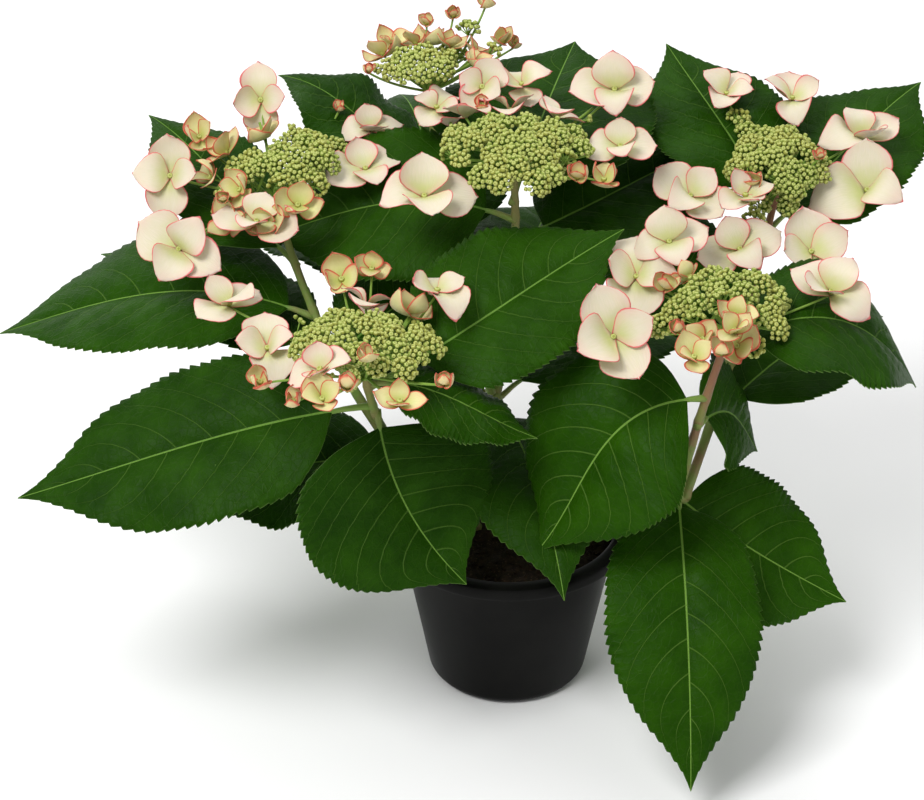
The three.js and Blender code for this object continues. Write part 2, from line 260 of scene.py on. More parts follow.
# How many points draw a limb and a leaf's midrib, and how firmly their lines keep to both ends.
LIMB_POINTS = 25
MIDRIB_POINTS = 60
END_WEIGHT = 40.0


@dataclass(frozen=True)
class Spine:
    """The middle line of a long node, its half-width, and how far it is rolled about the line."""

    line: Array
    half_width: float
    radii: Array
    roll: float = 0.0
    petiole: float = 0.0

    @staticmethod
    def _fit(line: Array, shares: Array, samples: int, start: Array, end: Array) -> Array:
        """Draws one smooth cubic line through noisy middle points and both ends.

        Args:
            line: the noisy middle points.
            shares: where each lies between the ends.
            samples: how many points the smooth line has.
            start: the first end.
            end: the last end.

        Returns:
            The smooth line's points.
        """
        places = np.concatenate([[0.0], shares, [1.0]])
        values = np.vstack([start, line, end])
        weights = np.concatenate([[END_WEIGHT], np.ones(len(shares)), [END_WEIGHT]])
        wanted = np.linspace(0.0, 1.0, samples)
        fitted = [np.polyval(np.polyfit(places, values[:, axis], 3, w=weights), wanted) for axis in range(3)]
        return np.stack(fitted, axis=1)

    @classmethod
    def of_limb(cls, node: str) -> "Spine":
        """Reads a limb from its foot to its crown.

        Args:
            node: the stem's or shoot's node.

        Returns:
            Its centre line with a radius at each point.
        """
        solid = Solid.of(node)
        apart = np.linalg.norm(solid.points[:, None] - solid.points[None], axis=2)
        first, second = np.unravel_index(np.argmax(apart), apart.shape)
        ends = sorted((solid.points[first], solid.points[second]), key=lambda point: point[2])
        axis = unit(ends[1] - ends[0])
        length = np.linalg.norm(ends[1] - ends[0])
        shares = np.linspace(0.12, 0.94, 9)
        middles, radii = [], []
        for share in shares:
            ring = solid.section(ends[0] + share * length * axis, axis)
            middle = (ring.min(axis=0) + ring.max(axis=0)) / 2
            middles.append(middle)
            radii.append(np.linalg.norm(ring - middle, axis=1).mean())
        line = cls._fit(np.array(middles), shares, LIMB_POINTS, ends[0], ends[1])
        thick = np.interp(np.linspace(0, 1, LIMB_POINTS), shares, np.array(radii))
        return cls(line, float(thick.mean()), thick)

    @classmethod
    def of_leaf(cls, node: str, limbs: BVHTree) -> "Spine":
        """Reads a leaf from its petiole's foot to its tip.

        Args:
            node: the leaf's node.
            limbs: the surfaces of all stems and shoots.

        Returns:
            Its midrib, half-width and roll, and the petiole's share of the midrib.
        """
        solid = Solid.of(node)
        apart = np.linalg.norm(solid.points[:, None] - solid.points[None], axis=2)
        crowd = (apart < KNOT).sum(axis=1)
        knots = solid.points[crowd >= min(6, crowd.max())]
        gaps = np.array([limbs.find_nearest(Vector(point))[3] for point in knots])
        base = knots[np.argmin(gaps)]
        base = solid.points[np.linalg.norm(solid.points - base, axis=1) < KNOT].mean(axis=0)
        tip = knots[np.argmax(np.linalg.norm(knots - base, axis=1))]
        axis = unit(tip - base)
        length = float(np.linalg.norm(tip - base))
        level = unit(np.cross(axis, UP))
        shares, middles, halves, rolls = [], [], [], []
        for share in np.linspace(0.06, 0.95, 24):
            ring = solid.section(base + share * length * axis, axis)
            if len(ring) < 4:
                continue
            spread = ring - ring.mean(axis=0)
            across = np.linalg.svd(spread, full_matrices=False)[2][0]
            across = across if across @ level > 0 else -across
            reach = ring @ across
            middle = ring.mean(axis=0)
            middle = middle + across * ((reach.max() + reach.min()) / 2 - middle @ across)
            shares.append(share)
            middles.append(middle)
            halves.append((reach.max() - reach.min()) / 2)
            rolls.append(math.atan2(across @ np.cross(axis, level), across @ level))
        halves = np.array(halves)
        wide = halves > 0.6 * halves.max()
        line = cls._fit(np.array(middles), np.array(shares), MIDRIB_POINTS, base, tip)
        line = evenly(line, MIDRIB_POINTS)
        starts = np.array(shares)[halves > 4 * MM]
        petiole = max(0.03, float(starts[0]) - 0.04)
        return cls(line, float(halves.max()), halves, float(np.median(np.array(rolls)[wide])), petiole)

    def at(self, share: Array) -> Array:
        """Points at the given shares of the line's length."""
        places = np.linspace(0.0, 1.0, len(self.line))
        return np.stack([np.interp(share, places, self.line[:, axis]) for axis in range(3)], axis=1)

    def towards(self, share: Array) -> Array:
        """Reads the line's direction.

        Args:
            share: shares of the line's length.

        Returns:
            A unit vector at each share.
        """
        places = np.linspace(0.0, 1.0, len(self.line))
        heading = unit(np.gradient(self.line, axis=0))
        return unit(np.stack([np.interp(share, places, heading[:, axis]) for axis in range(3)], axis=1))


# ---- finishes ----


class Recipe:
    """Builds one material, node by node."""

    def __init__(self, name: str, colour: Colour, roughness: float, specular: float = 0.5) -> None:
        """Starts a material with a plain surface.

        Args:
            name: the material's name.
            colour: its base colour.
            roughness: how matt it is.
            specular: how strongly its surface mirrors.
        """
        self.material = bpy.data.materials.new(name)
        self.material.use_nodes = True
        self.nodes = self.material.node_tree.nodes
        self.links = self.material.node_tree.links
        self.surface = self.nodes["Principled BSDF"]
        self.surface.inputs["Base Color"].default_value = (*colour, 1.0)
        self.surface.inputs["Roughness"].default_value = roughness
        self.surface.inputs["Specular IOR Level"].default_value = specular
        self.material.diffuse_color = (*colour, 1.0)

    def put(self, node: bpy.types.Node, name: str | int, value: object) -> None:
        """Sets an input, or links a socket to it.

        Args:
            node: the node that has the input.
            name: the input's name or number.
            value: a plain value or a socket.
        """
        if isinstance(value, bpy.types.NodeSocket):
            self.links.new(value, node.inputs[name])
        else:
            node.inputs[name].default_value = value

    def maths(self, operation: str, *values: object) -> Socket:
        """Adds one step of arithmetic.

        Args:
            operation: what it does.
            *values: the numbers or sockets that it works on.

        Returns:
            The result's socket.
        """
        node = self.nodes.new("ShaderNodeMath")
        node.operation = operation
        for index, value in enumerate(values):
            self.put(node, index, value)
        return node.outputs[0]

    def fade(self, value: Socket, low: object, high: object) -> Socket:
        """Rises smoothly from 0 to 1.

        Args:
            value: the socket that is read.
            low: the value that gives 0.
            high: the value that gives 1.

        Returns:
            The result's socket.
        """
        node = self.nodes.new("ShaderNodeMapRange")
        node.interpolation_type = "SMOOTHSTEP"
        self.put(node, "Value", value)
        self.put(node, "From Min", low)
        self.put(node, "From Max", high)
        return node.outputs["Result"]

    def fall(self, value: Socket, low: object, high: object) -> Socket:
        """Falls smoothly from 1 to 0.

        Args:
            value: the socket that is read.
            low: the value that gives 1.
            high: the value that gives 0.

        Returns:
            The result's socket.
        """
        return self.maths("SUBTRACT", 1.0, self.fade(value, low, high))

    def scaled(self, value: object, factor: object) -> Socket:
        """Multiplies two numbers or sockets."""
        return self.maths("MULTIPLY", value, factor)

    def mixed(self, share: object, first: object, second: object) -> Socket:
        """Blends two colours.

        Args:
            share: the second colour's share.
            first: a colour or a socket.
            second: a colour or a socket.

        Returns:
            The blended colour's socket.
        """
        node = self.nodes.new("ShaderNodeMix")
        node.data_type = "RGBA"
        node.clamp_factor = True
        for index, value in ((0, share), (6, first), (7, second)):
            self.put(node, index, (*value, 1.0) if isinstance(value, tuple) else value)
        return node.outputs[2]

    def parts(self, attribute: str) -> tuple[Socket, Socket, Socket]:
        """Reads the three numbers of a vector attribute.

        Args:
            attribute: its name on the mesh.

        Returns:
            A socket for each number.
        """
        node = self.nodes.new("ShaderNodeAttribute")
        node.attribute_name = attribute
        split = self.nodes.new("ShaderNodeSeparateXYZ")
        self.links.new(node.outputs["Vector"], split.inputs[0])
        return split.outputs[0], split.outputs[1], split.outputs[2]

    def joined(self, x: object, y: object, z: object = 0.0) -> Socket:
        """Joins three numbers or sockets.

        Args:
            x: the first.
            y: the second.
            z: the third.

        Returns:
            The vector's socket.
        """
        node = self.nodes.new("ShaderNodeCombineXYZ")
        for index, value in enumerate((x, y, z)):
            self.put(node, index, value)
        return node.outputs[0]

    def place(self) -> Socket:
        """The point's own place on the piece."""
        return self.nodes.new("ShaderNodeTexCoord").outputs["Object"]

    def noise(self, vector: Socket, scale: float, detail: float = 3.0, roughness: float = 0.5) -> Socket:
        """Adds cloudy noise from 0 to 1.

        Args:
            vector: the place that it is read at.
            scale: how fine it is.
            detail: how many finer layers it has.
            roughness: how strong the finer layers are.

        Returns:
            The noise's socket.
        """
        node = self.nodes.new("ShaderNodeTexNoise")
        self.links.new(vector, node.inputs["Vector"])
        self.put(node, "Scale", scale)
        self.put(node, "Detail", detail)
        self.put(node, "Roughness", roughness)
        return node.outputs["Fac"]

    def cells(self, vector: Socket, scale: float, feature: str = "DISTANCE_TO_EDGE") -> Socket:
        """Adds a pattern of irregular cells.

        Args:
            vector: the place that it is read at.
            scale: how fine it is.
            feature: what the distance is measured to.

        Returns:
            The distance's socket.
        """
        node = self.nodes.new("ShaderNodeTexVoronoi")
        node.feature = feature
        self.links.new(vector, node.inputs["Vector"])
        self.put(node, "Scale", scale)
        return node.outputs["Distance"]

    def colour(self, value: Socket) -> None:
        """Uses a socket as the base colour."""
        self.put(self.surface, "Base Color", value)

    def relief(self, height: Socket, depth: float, strength: float = 1.0) -> None:
        """Uses a socket as fine relief.

        Args:
            height: the relief's height.
            depth: how deep it is.
            strength: how much of it shows.
        """
        node = self.nodes.new("ShaderNodeBump")
        self.put(node, "Height", height)
        self.put(node, "Distance", depth)
        self.put(node, "Strength", strength)
        self.put(self.surface, "Normal", node.outputs[0])


@dataclass(frozen=True)
class Veins:
    """Where a leaf's side veins run: their number, arch and spacing, and how far the two sides differ."""

    pairs: float = 9.0
    rake: float = 0.13
    arch: float = 0.17
    crowding: float = 0.88
    stagger: float = 0.25

    def step(self, along: Array, across: Array) -> Array:
        """Counts veins, so that a whole number lies on a vein.

        Args:
            along: share of the blade's length.
            across: share of its half-width, signed.

        Returns:
            The count at each place.
        """
        start = along - self.rake * abs(across) - self.arch * across**2
        return np.sign(start) * abs(start) ** self.crowding * self.pairs + self.stagger * (across > 0)

    def step_socket(self, recipe: Recipe, along: Socket, across: Socket) -> Socket:
        """Counts veins as step does, in a material.

        Args:
            recipe: the material.
            along: share of the blade's length.
            across: share of its half-width, signed.

        Returns:
            The count's socket.
        """
        width = recipe.maths("ABSOLUTE", across)
        bend = recipe.scaled(recipe.scaled(width, width), self.arch)
        start = recipe.maths("SUBTRACT", recipe.maths("MULTIPLY_ADD", width, -self.rake, along), bend)
        size = recipe.maths("POWER", recipe.maths("ABSOLUTE", start), self.crowding)
        count = recipe.scaled(recipe.scaled(size, self.pairs), recipe.maths("SIGN", start))
        return recipe.maths("MULTIPLY_ADD", recipe.maths("GREATER_THAN", across, 0.0), self.stagger, count)


@dataclass(frozen=True)
class LeafFinish:
    """One face of a leaf: satin green with pale veins, a fine net between them, and painted shade darkening
    the green along the veins.

    Widths are in millimetres: a pair is its change over the blade and its start.
    """

    name: str
    deep: Colour
    bright: Colour
    vein: Colour
    roughness: float
    vein_strength: float
    net_strength: float
    relief: float
    veins: Veins = Veins()
    side_width: tuple[float, float] = (-0.26, 0.42)
    midrib_width: tuple[float, float] = (-0.5, 0.72)
    net_scale: float = 0.24
    fine_scale: float = 0.75
    cloud_scale: float = 0.035
    margin_width: float = 0.7
    margin_strength: float = 0.13

    def material(self) -> bpy.types.Material:
        """Builds the leaf's material from its blade attributes.

        Returns:
            The finished material.
        """
        recipe = Recipe(self.name, self.bright, self.roughness, 0.04)
        along, across, half = recipe.parts("blade")
        tone, rim, length = recipe.parts("tone")
        count = self.veins.step_socket(recipe, along, across)
        whole = recipe.maths("FRACT", recipe.maths("ADD", count, 0.5))
        nearest = recipe.maths("ABSOLUTE", recipe.maths("SUBTRACT", whole, 0.5))
        distance = recipe.scaled(nearest, recipe.scaled(length, 0.8 / self.veins.pairs))
        aside = recipe.maths("ABSOLUTE", across)
        width = recipe.maths("MULTIPLY_ADD", aside, *self.side_width)
        side = recipe.fall(distance, recipe.scaled(width, 0.35), recipe.scaled(width, 1.25))
        thick = recipe.maths("MULTIPLY_ADD", along, *self.midrib_width)
        offset = recipe.scaled(aside, half)
        midrib = recipe.fall(offset, recipe.scaled(thick, 0.6), recipe.scaled(thick, 1.25))
        sheet = recipe.joined(recipe.scaled(along, length), recipe.scaled(across, half), tone)
        net = recipe.fall(recipe.cells(sheet, self.net_scale), 0.0, 0.1)
        fine = recipe.fall(recipe.cells(sheet, self.fine_scale), 0.0, 0.12)
        cloud = recipe.noise(sheet, self.cloud_scale, 4.0, 0.6)
        shade = recipe.maths("ADD", recipe.fade(cloud, 0.1, 0.95), tone)
        blade = recipe.mixed(shade, self.deep, self.bright)
        # Painted shade: the green is darkened towards the deep colour along each vein, where the quilted
        # blade dips into a valley.
        hollow = recipe.scaled(recipe.fade(nearest, 0.03, 0.3), 0.35)
        blade = recipe.mixed(hollow, recipe.mixed(0.35, blade, self.deep), blade)
        blade = recipe.mixed(recipe.scaled(net, self.net_strength), blade, self.vein)
        blade = recipe.mixed(recipe.scaled(fine, self.net_strength * 0.35), blade, self.vein)
        margin = recipe.fall(rim, 0.0, self.margin_width)
        ribs = recipe.maths("MAXIMUM", recipe.scaled(side, self.vein_strength), midrib)
        blade = recipe.mixed(recipe.scaled(margin, self.margin_strength), blade, self.vein)
        recipe.colour(recipe.mixed(recipe.scaled(ribs, 0.9), blade, self.vein))
        valleys = recipe.maths("MULTIPLY_ADD", net, 0.45, recipe.maths("MULTIPLY_ADD", fine, 0.15, side))
        recipe.relief(recipe.scaled(valleys, -1.0), self.relief, 0.8)
        return recipe.material


@dataclass(frozen=True)
class SepalFinish:
    """A floret's sepals: soft pale petals with a green heart and a thin coloured rim."""

    name: str
    body: Colour
    heart: Colour
    blush: Colour
    rim: Colour
    rim_width: float
    blush_reach: float

    def material(self) -> bpy.types.Material:
        """Builds the sepals' material from their attributes.

        Returns:
            The finished material.
        """
        recipe = Recipe(self.name, self.body, 0.62, 0.3)
        recipe.surface.inputs["Subsurface Weight"].default_value = 0.12
        recipe.surface.inputs["Subsurface Radius"].default_value = (1.0, 0.7, 0.4)
        recipe.surface.inputs["Subsurface Scale"].default_value = 0.0015
        recipe.surface.inputs["Sheen Weight"].default_value = 0.1
        along, across, edge = recipe.parts("sepal")
        tone, _, _ = recipe.parts("tone")
        place = recipe.place()
        cloud = recipe.noise(place, 120.0, 3.0)
        heart = recipe.fall(recipe.maths("MULTIPLY_ADD", cloud, 0.2, along), 0.1, 0.74)
        body = recipe.mixed(recipe.scaled(heart, 0.85), self.body, self.heart)
        strands = recipe.joined(recipe.scaled(across, 7.0), recipe.scaled(along, 1.5), tone)
        veins = recipe.fall(recipe.cells(strands, 1.6), 0.0, 0.16)
        body = recipe.mixed(recipe.scaled(veins, 0.09), body, self.heart)
        soft = recipe.fall(edge, 0.0, self.blush_reach)
        uneven = recipe.fade(recipe.noise(place, 55.0, 2.0), 0.3, 0.75)
        blush = recipe.scaled(soft, recipe.maths("MULTIPLY_ADD", uneven, 0.5, 0.12))
        body = recipe.mixed(blush, body, self.blush)
        wander = recipe.maths("MULTIPLY_ADD", uneven, self.rim_width * 0.8, self.rim_width * 0.45)
        line = recipe.fall(edge, recipe.scaled(wander, 0.35), wander)
        recipe.colour(recipe.mixed(recipe.scaled(line, 0.9), body, self.rim))
        recipe.relief(veins, 0.08 * MM, 0.4)
        return recipe.material


@dataclass(frozen=True)
class PlainFinish:
    """The finish of buds, stalks and other small things of one colour, with a fine grain."""

    name: str
    colour: Colour
    roughness: float = 0.55
    specular: float = 0.25
    grain: float = 900.0
    depth: float = 0.12 * MM

    def material(self) -> bpy.types.Material:
        """Builds the material: one colour, with uneven gloss and fine relief.

        Returns:
            The finished material.
        """
        recipe = Recipe(self.name, self.colour, self.roughness, self.specular)
        grain = recipe.noise(recipe.place(), self.grain, 3.0, 0.6)
        gloss = recipe.maths("MULTIPLY_ADD", grain, 0.3, self.roughness - 0.15)
        recipe.put(recipe.surface, "Roughness", gloss)
        recipe.relief(grain, self.depth, 0.6)
        return recipe.material


@dataclass(frozen=True)
class StemFinish:
    """Living bark: green going buff and red-brown, with fine ridges and small corky spots."""

    name: str
    green: Colour
    brown: Colour
    flush: Colour
    flush_from: float

    def material(self) -> bpy.types.Material:
        """Builds the bark from the limb's own attribute and its place.

        Returns:
            The finished material.
        """
        recipe = Recipe(self.name, self.green, 0.55, 0.35)
        along, around, _ = recipe.parts("limb")
        place = recipe.place()
        patch = recipe.fade(recipe.noise(place, 70.0, 4.0, 0.6), 0.4, 0.68)
        bark = recipe.mixed(patch, self.green, self.brown)
        flush = recipe.fade(recipe.maths("MULTIPLY_ADD", patch, 0.15, along), self.flush_from, 1.05)
        bark = recipe.mixed(flush, bark, self.flush)
        strands = recipe.joined(recipe.scaled(around, 9.0), recipe.scaled(along, 5.0))
        ridge = recipe.noise(strands, 1.6, 3.0, 0.6)
        spots = recipe.fall(recipe.cells(place, 330.0, "F1"), 0.12, 0.26)
        recipe.colour(recipe.mixed(recipe.scaled(spots, 0.4), bark, self.brown))
        recipe.relief(recipe.maths("MULTIPLY_ADD", spots, 0.6, ridge), 0.35 * MM, 0.8)
        return recipe.material


@dataclass(frozen=True)
class PotFinish:
    """Satin black moulded plastic with a faint grain and scuffs of a dusty colour."""

    name: str = "pot black plastic"
    black: Colour = (0.003, 0.003, 0.0026)
    grey: Colour = (0.0065, 0.0065, 0.0058)
    dust: Colour = (0.08, 0.07, 0.06)

    def material(self) -> bpy.types.Material:
        """Builds the pot's plastic.

        Returns:
            The finished material.
        """
        recipe = Recipe(self.name, self.black, 0.36, 0.07)
        place = recipe.place()
        cloud = recipe.noise(place, 22.0, 5.0, 0.6)
        body = recipe.mixed(recipe.fade(cloud, 0.35, 0.75), self.black, self.grey)
        stretched = recipe.nodes.new("ShaderNodeMapping")
        stretched.inputs["Scale"].default_value = (1.0, 1.0, 5.0)
        recipe.links.new(place, stretched.inputs[0])
        scuff = recipe.fade(recipe.noise(stretched.outputs[0], 90.0, 6.0, 0.7), 0.66, 0.78)
        recipe.colour(recipe.mixed(recipe.scaled(scuff, 0.25), body, self.dust))
        shine = recipe.maths("MULTIPLY_ADD", cloud, 0.22, 0.26)
        recipe.put(recipe.surface, "Roughness", recipe.maths("MULTIPLY_ADD", scuff, 0.2, shine))
        recipe.relief(recipe.noise(place, 900.0, 2.0), 0.04 * MM, 0.5)
        return recipe.material


@dataclass(frozen=True)
class CompostFinish:
    """Moist dark compost with paler fibres."""

    name: str = "moist compost"
    dark: Colour = (0.012, 0.007, 0.004)
    brown: Colour = (0.035, 0.02, 0.01)
    fibre: Colour = (0.10, 0.065, 0.035)

    def material(self) -> bpy.types.Material:
        """Builds the compost's material.

        Returns:
            The finished material.
        """
        recipe = Recipe(self.name, self.dark, 0.9, 0.2)
        place = recipe.place()
        crumbs = recipe.noise(place, 260.0, 6.0, 0.7)
        body = recipe.mixed(recipe.fade(crumbs, 0.4, 0.7), self.dark, self.brown)
        flecks = recipe.fade(recipe.cells(place, 420.0, "F1"), 0.3, 0.12)
        recipe.colour(recipe.mixed(recipe.scaled(flecks, 0.5), body, self.fibre))
        recipe.relief(crumbs, 1.2 * MM)
        return recipe.material


@dataclass(frozen=True)
class Palette:
    """Every finish of the plant and its pot."""

    leaf: LeafFinish = LeafFinish(
        "leaf upper face", deep=(0.006, 0.029, 0.0005), bright=(0.025, 0.086, 0.003),
        vein=(0.14, 0.27, 0.045), roughness=0.38, vein_strength=0.26, net_strength=0.02,
        relief=0.35 * MM)
    # A brighter, lit copy of the upper face with slightly stronger veins: painted light on the leaves that
    # take it.
    young_leaf: LeafFinish = LeafFinish(
        "leaf upper face, young", deep=(0.008, 0.038, 0.0004), bright=(0.026, 0.094, 0.0015),
        vein=(0.16, 0.30, 0.05), roughness=0.36, vein_strength=0.32, net_strength=0.02,
        relief=0.35 * MM)
    leaf_under: LeafFinish = LeafFinish(
        "leaf underside", deep=(0.045, 0.115, 0.02), bright=(0.09, 0.18, 0.04),
        vein=(0.24, 0.34, 0.10), roughness=0.62, vein_strength=0.8, net_strength=0.22,
        relief=-0.5 * MM)
    petiole: StemFinish = StemFinish(
        "leaf stalk", green=(0.16, 0.27, 0.04), brown=(0.20, 0.22, 0.06), flush=(0.12, 0.26, 0.03),
        flush_from=0.6)
    sepal: SepalFinish = SepalFinish(
        "open sepals", body=(0.68, 0.61, 0.47), heart=(0.43, 0.49, 0.11), blush=(0.73, 0.45, 0.41),
        rim=(0.66, 0.10, 0.11), rim_width=1.0, blush_reach=8.0)
    young_sepal: SepalFinish = SepalFinish(
        "opening sepals", body=(0.66, 0.62, 0.30), heart=(0.36, 0.44, 0.06), blush=(0.70, 0.32, 0.20),
        rim=(0.58, 0.07, 0.04), rim_width=1.3, blush_reach=5.5)
    buds: tuple[PlainFinish, ...] = (
        PlainFinish("buds, green", (0.255, 0.325, 0.055)),
        PlainFinish("buds, pale", (0.33, 0.385, 0.08)),
        PlainFinish("buds, golden", (0.32, 0.335, 0.065)),
        PlainFinish("bud tips", (0.47, 0.51, 0.16)),
    )
    ray: PlainFinish = PlainFinish("flower rays", (0.20, 0.33, 0.05), roughness=0.5)
    stem: StemFinish = StemFinish(
        "stem bark", green=(0.14, 0.20, 0.04), brown=(0.20, 0.13, 0.06), flush=(0.17, 0.22, 0.05),
        flush_from=0.9)
    shoot: StemFinish = StemFinish(
        "shoot bark", green=(0.15, 0.25, 0.04), brown=(0.20, 0.19, 0.06), flush=(0.22, 0.20, 0.06),
        flush_from=0.6)
    flushed_shoot: StemFinish = StemFinish(
        "shoot bark, flushed", green=(0.17, 0.24, 0.05), brown=(0.24, 0.16, 0.07),
        flush=(0.25, 0.11, 0.06), flush_from=0.35)
    cut_wood: PlainFinish = PlainFinish(
        "cut wood", (0.30, 0.19, 0.09), roughness=0.8, specular=0.2, grain=500.0, depth=0.3 * MM)
    pot: PotFinish = PotFinish()
    compost: CompostFinish = CompostFinish()


# ---- building meshes ----


class Basket:
    """Gathers the meshes of many small things and joins them into one piece."""

    def __init__(self) -> None:
        """Starts empty."""
        self.points: list[Array] = []
        self.faces: list[list[int]] = []
        self.slots: list[int] = []
        self.uvs: list[Array] = []
        self.marks: dict[str, list[Array]] = {}
        self.count = 0

    def add(self, points: Array, faces: list[list[int]], slot: int | Sequence[int] = 0,
            uv: Array | None = None, **marks: Array) -> None:
        """Adds one mesh.

        Args:
            points: its corners.
            faces: its faces, as corner numbers.
            slot: its material slot, or one for each face.
            uv: a place in the unwrapped picture for each corner.
            **marks: vectors that its material reads, one for each corner.
        """
        self.faces += [[corner + self.count for corner in face] for face in faces]
        self.slots += [slot] * len(faces) if isinstance(slot, int) else list(slot)
        self.points.append(points)
        self.uvs.append(np.zeros((len(points), 2)) if uv is None else uv)
        for name, values in marks.items():
            self.marks.setdefault(name, []).append(values)
        self.count += len(points)

    def piece(self, name: str, materials: Sequence[bpy.types.Material], slot: str,
              unwrapped: bool = False) -> Piece:
        """Makes the joined piece, smooth-shaded, and sets it on the frame.

        Args:
            name: the piece's name.
            materials: its materials, in slot order.
            slot: not used.
            unwrapped: whether it carries its own unwrapped map.

        Returns:
            The finished piece.
        """
        mesh = bpy.data.meshes.new(name)
        mesh.from_pydata(np.vstack(self.points).tolist(), [], self.faces)
        for material in materials:
            mesh.materials.append(material)
        mesh.polygons.foreach_set("material_index", self.slots)
        mesh.polygons.foreach_set("use_smooth", [True] * len(mesh.polygons))
        for mark, values in self.marks.items():
            attribute = mesh.attributes.new(mark, "FLOAT_VECTOR", "POINT")
            attribute.data.foreach_set("vector", np.vstack(values).astype(np.float32).ravel())
        if unwrapped:
            corners = np.zeros(len(mesh.loops), int)
            mesh.loops.foreach_get("vertex_index", corners)
            layer = mesh.uv_layers.new(name="OFBake")
            layer.data.foreach_set("uv", np.vstack(self.uvs)[corners].astype(np.float32).ravel())
        mesh.update()
        piece = bpy.data.objects.new(name, mesh)
        bpy.context.scene.collection.objects.link(piece)
        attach(piece, "root")
        return piece


def sheet_faces(rows: int, columns: int, start: int = 0, flipped: bool = False) -> list[list[int]]:
    """The faces of a grid of corners, row after row.

    Args:
        rows: how many rows of corners.
        columns: how many corners in a row.
        start: the first corner's number.
        flipped: whether the faces look the other way.

    Returns:
        The grid's four-sided faces.
    """
    faces = []
    for row in range(rows - 1):
        for column in range(columns - 1):
            a = start + row * columns + column
            face = [a, a + 1, a + columns + 1, a + columns]
            faces.append(face[::-1] if flipped else face)
    return faces


def skin_faces(rows: int, columns: int) -> list[list[int]]:
    """The faces of two grids, one over the other, closed along all four edges.

    Args:
        rows: how many rows of corners each grid has.
        columns: how many corners in a row.

    Returns:
        The faces: the upper grid's, the lower grid's, and the rim's.
    """
    under = rows * columns
    faces = sheet_faces(rows, columns) + sheet_faces(rows, columns, under, flipped=True)
    rim = list(range(columns))
    rim += [row * columns + columns - 1 for row in range(1, rows)]
    rim += [(rows - 1) * columns + column for column in range(columns - 2, -1, -1)]
    rim += [row * columns for row in range(rows - 2, 0, -1)]
    for a, b in zip(rim, rim[1:] + rim[:1]):
        faces.append([b, a, a + under, b + under])
    return faces


def tube(line: Array, radii: Array | float, sides: int) -> tuple[Array, list[list[int]], Array]:
    """A closed round tube along a line.

    Args:
        line: its centre points.
        radii: its radius at each point.
        sides: how many sides it has.

    Returns:
        Its corners, its faces, and for each corner its share along and around the tube.
    """
    count = len(line)
    heading = unit(np.gradient(line, axis=0))
    radii = np.broadcast_to(radii, (count,))
    helper = np.array([1.0, 0.0, 0.0]) if abs(heading[0][0]) < 0.8 else np.array([0.0, 1.0, 0.0])
    across = unit(np.cross(heading[0], helper))
    rings, marks = [], []
    turns = np.linspace(0, 2 * math.pi, sides, endpoint=False)
    for index in range(count):
        across = unit(across - (across @ heading[index]) * heading[index])
        other = np.cross(heading[index], across)
        ring = np.outer(np.cos(turns), across) + np.outer(np.sin(turns), other)
        rings.append(line[index] + radii[index] * ring)
        share = np.full(sides, index / (count - 1))
        marks.append(np.stack([share, abs(turns / math.pi - 1), turns * 0], axis=1))
    points = np.vstack([*rings, line[0], line[-1]])
    marks = np.vstack([*marks, [0.0, 0.0, 0.0], [1.0, 0.0, 0.0]])
    faces = []
    for row in range(count - 1):
        for side in range(sides):
            a, b = row * sides + side, row * sides + (side + 1) % sides
            faces.append([a, b, b + sides, a + sides])
    foot, crown, last = count * sides, count * sides + 1, (count - 1) * sides
    for side in range(sides):
        other = (side + 1) % sides
        faces.append([foot, other, side])
        faces.append([crown, last + side, last + other])
    return points, faces, marks


# ---- leaves ----


class LeafLighting(Enum):
    """Which copy of the upper face's finish a leaf takes, as the finish's name: the darker one, or a
    brighter one that paints light onto the leaf.
    """

    MATURE = "leaf"
    YOUNG = "young_leaf"


@dataclass
class LeafShape:
    """The outline, teeth and relief that every leaf shares."""

    outline: tuple[tuple[float, float], ...] = (
        (0.0, 0.02), (0.03, 0.33), (0.1, 0.70), (0.22, 0.94), (0.36, 1.0), (0.49, 0.99), (0.62, 0.87),
        (0.75, 0.60), (0.86, 0.28), (0.93, 0.11), (0.97, 0.045), (1.0, 0.004))
    columns: tuple[float, ...] = (0.0, 0.022, 0.055, 0.16, 0.3, 0.44, 0.58, 0.71, 0.83, 0.93, 1.0)
    teeth: int = 30
    tooth: tuple[tuple[float, float], ...] = (
        (0.0, 0.0), (0.32, 0.44), (0.62, 0.8), (0.84, 1.0), (0.95, 0.45))
    tooth_depth: float = 1.9 * MM
    tooth_lean: float = 0.05
    thickness: float = 0.4 * MM
    fold: float = math.radians(10)
    droop: float = 8 * MM
    quilt: float = 2.2 * MM
    ridge: float = 0.9 * MM
    ridge_width: float = 1.4 * MM
    rib: float = 0.25 * MM
    wave_rates: tuple[float, ...] = (1.8, 3.4, 6.1)
    veins: Veins = Veins()


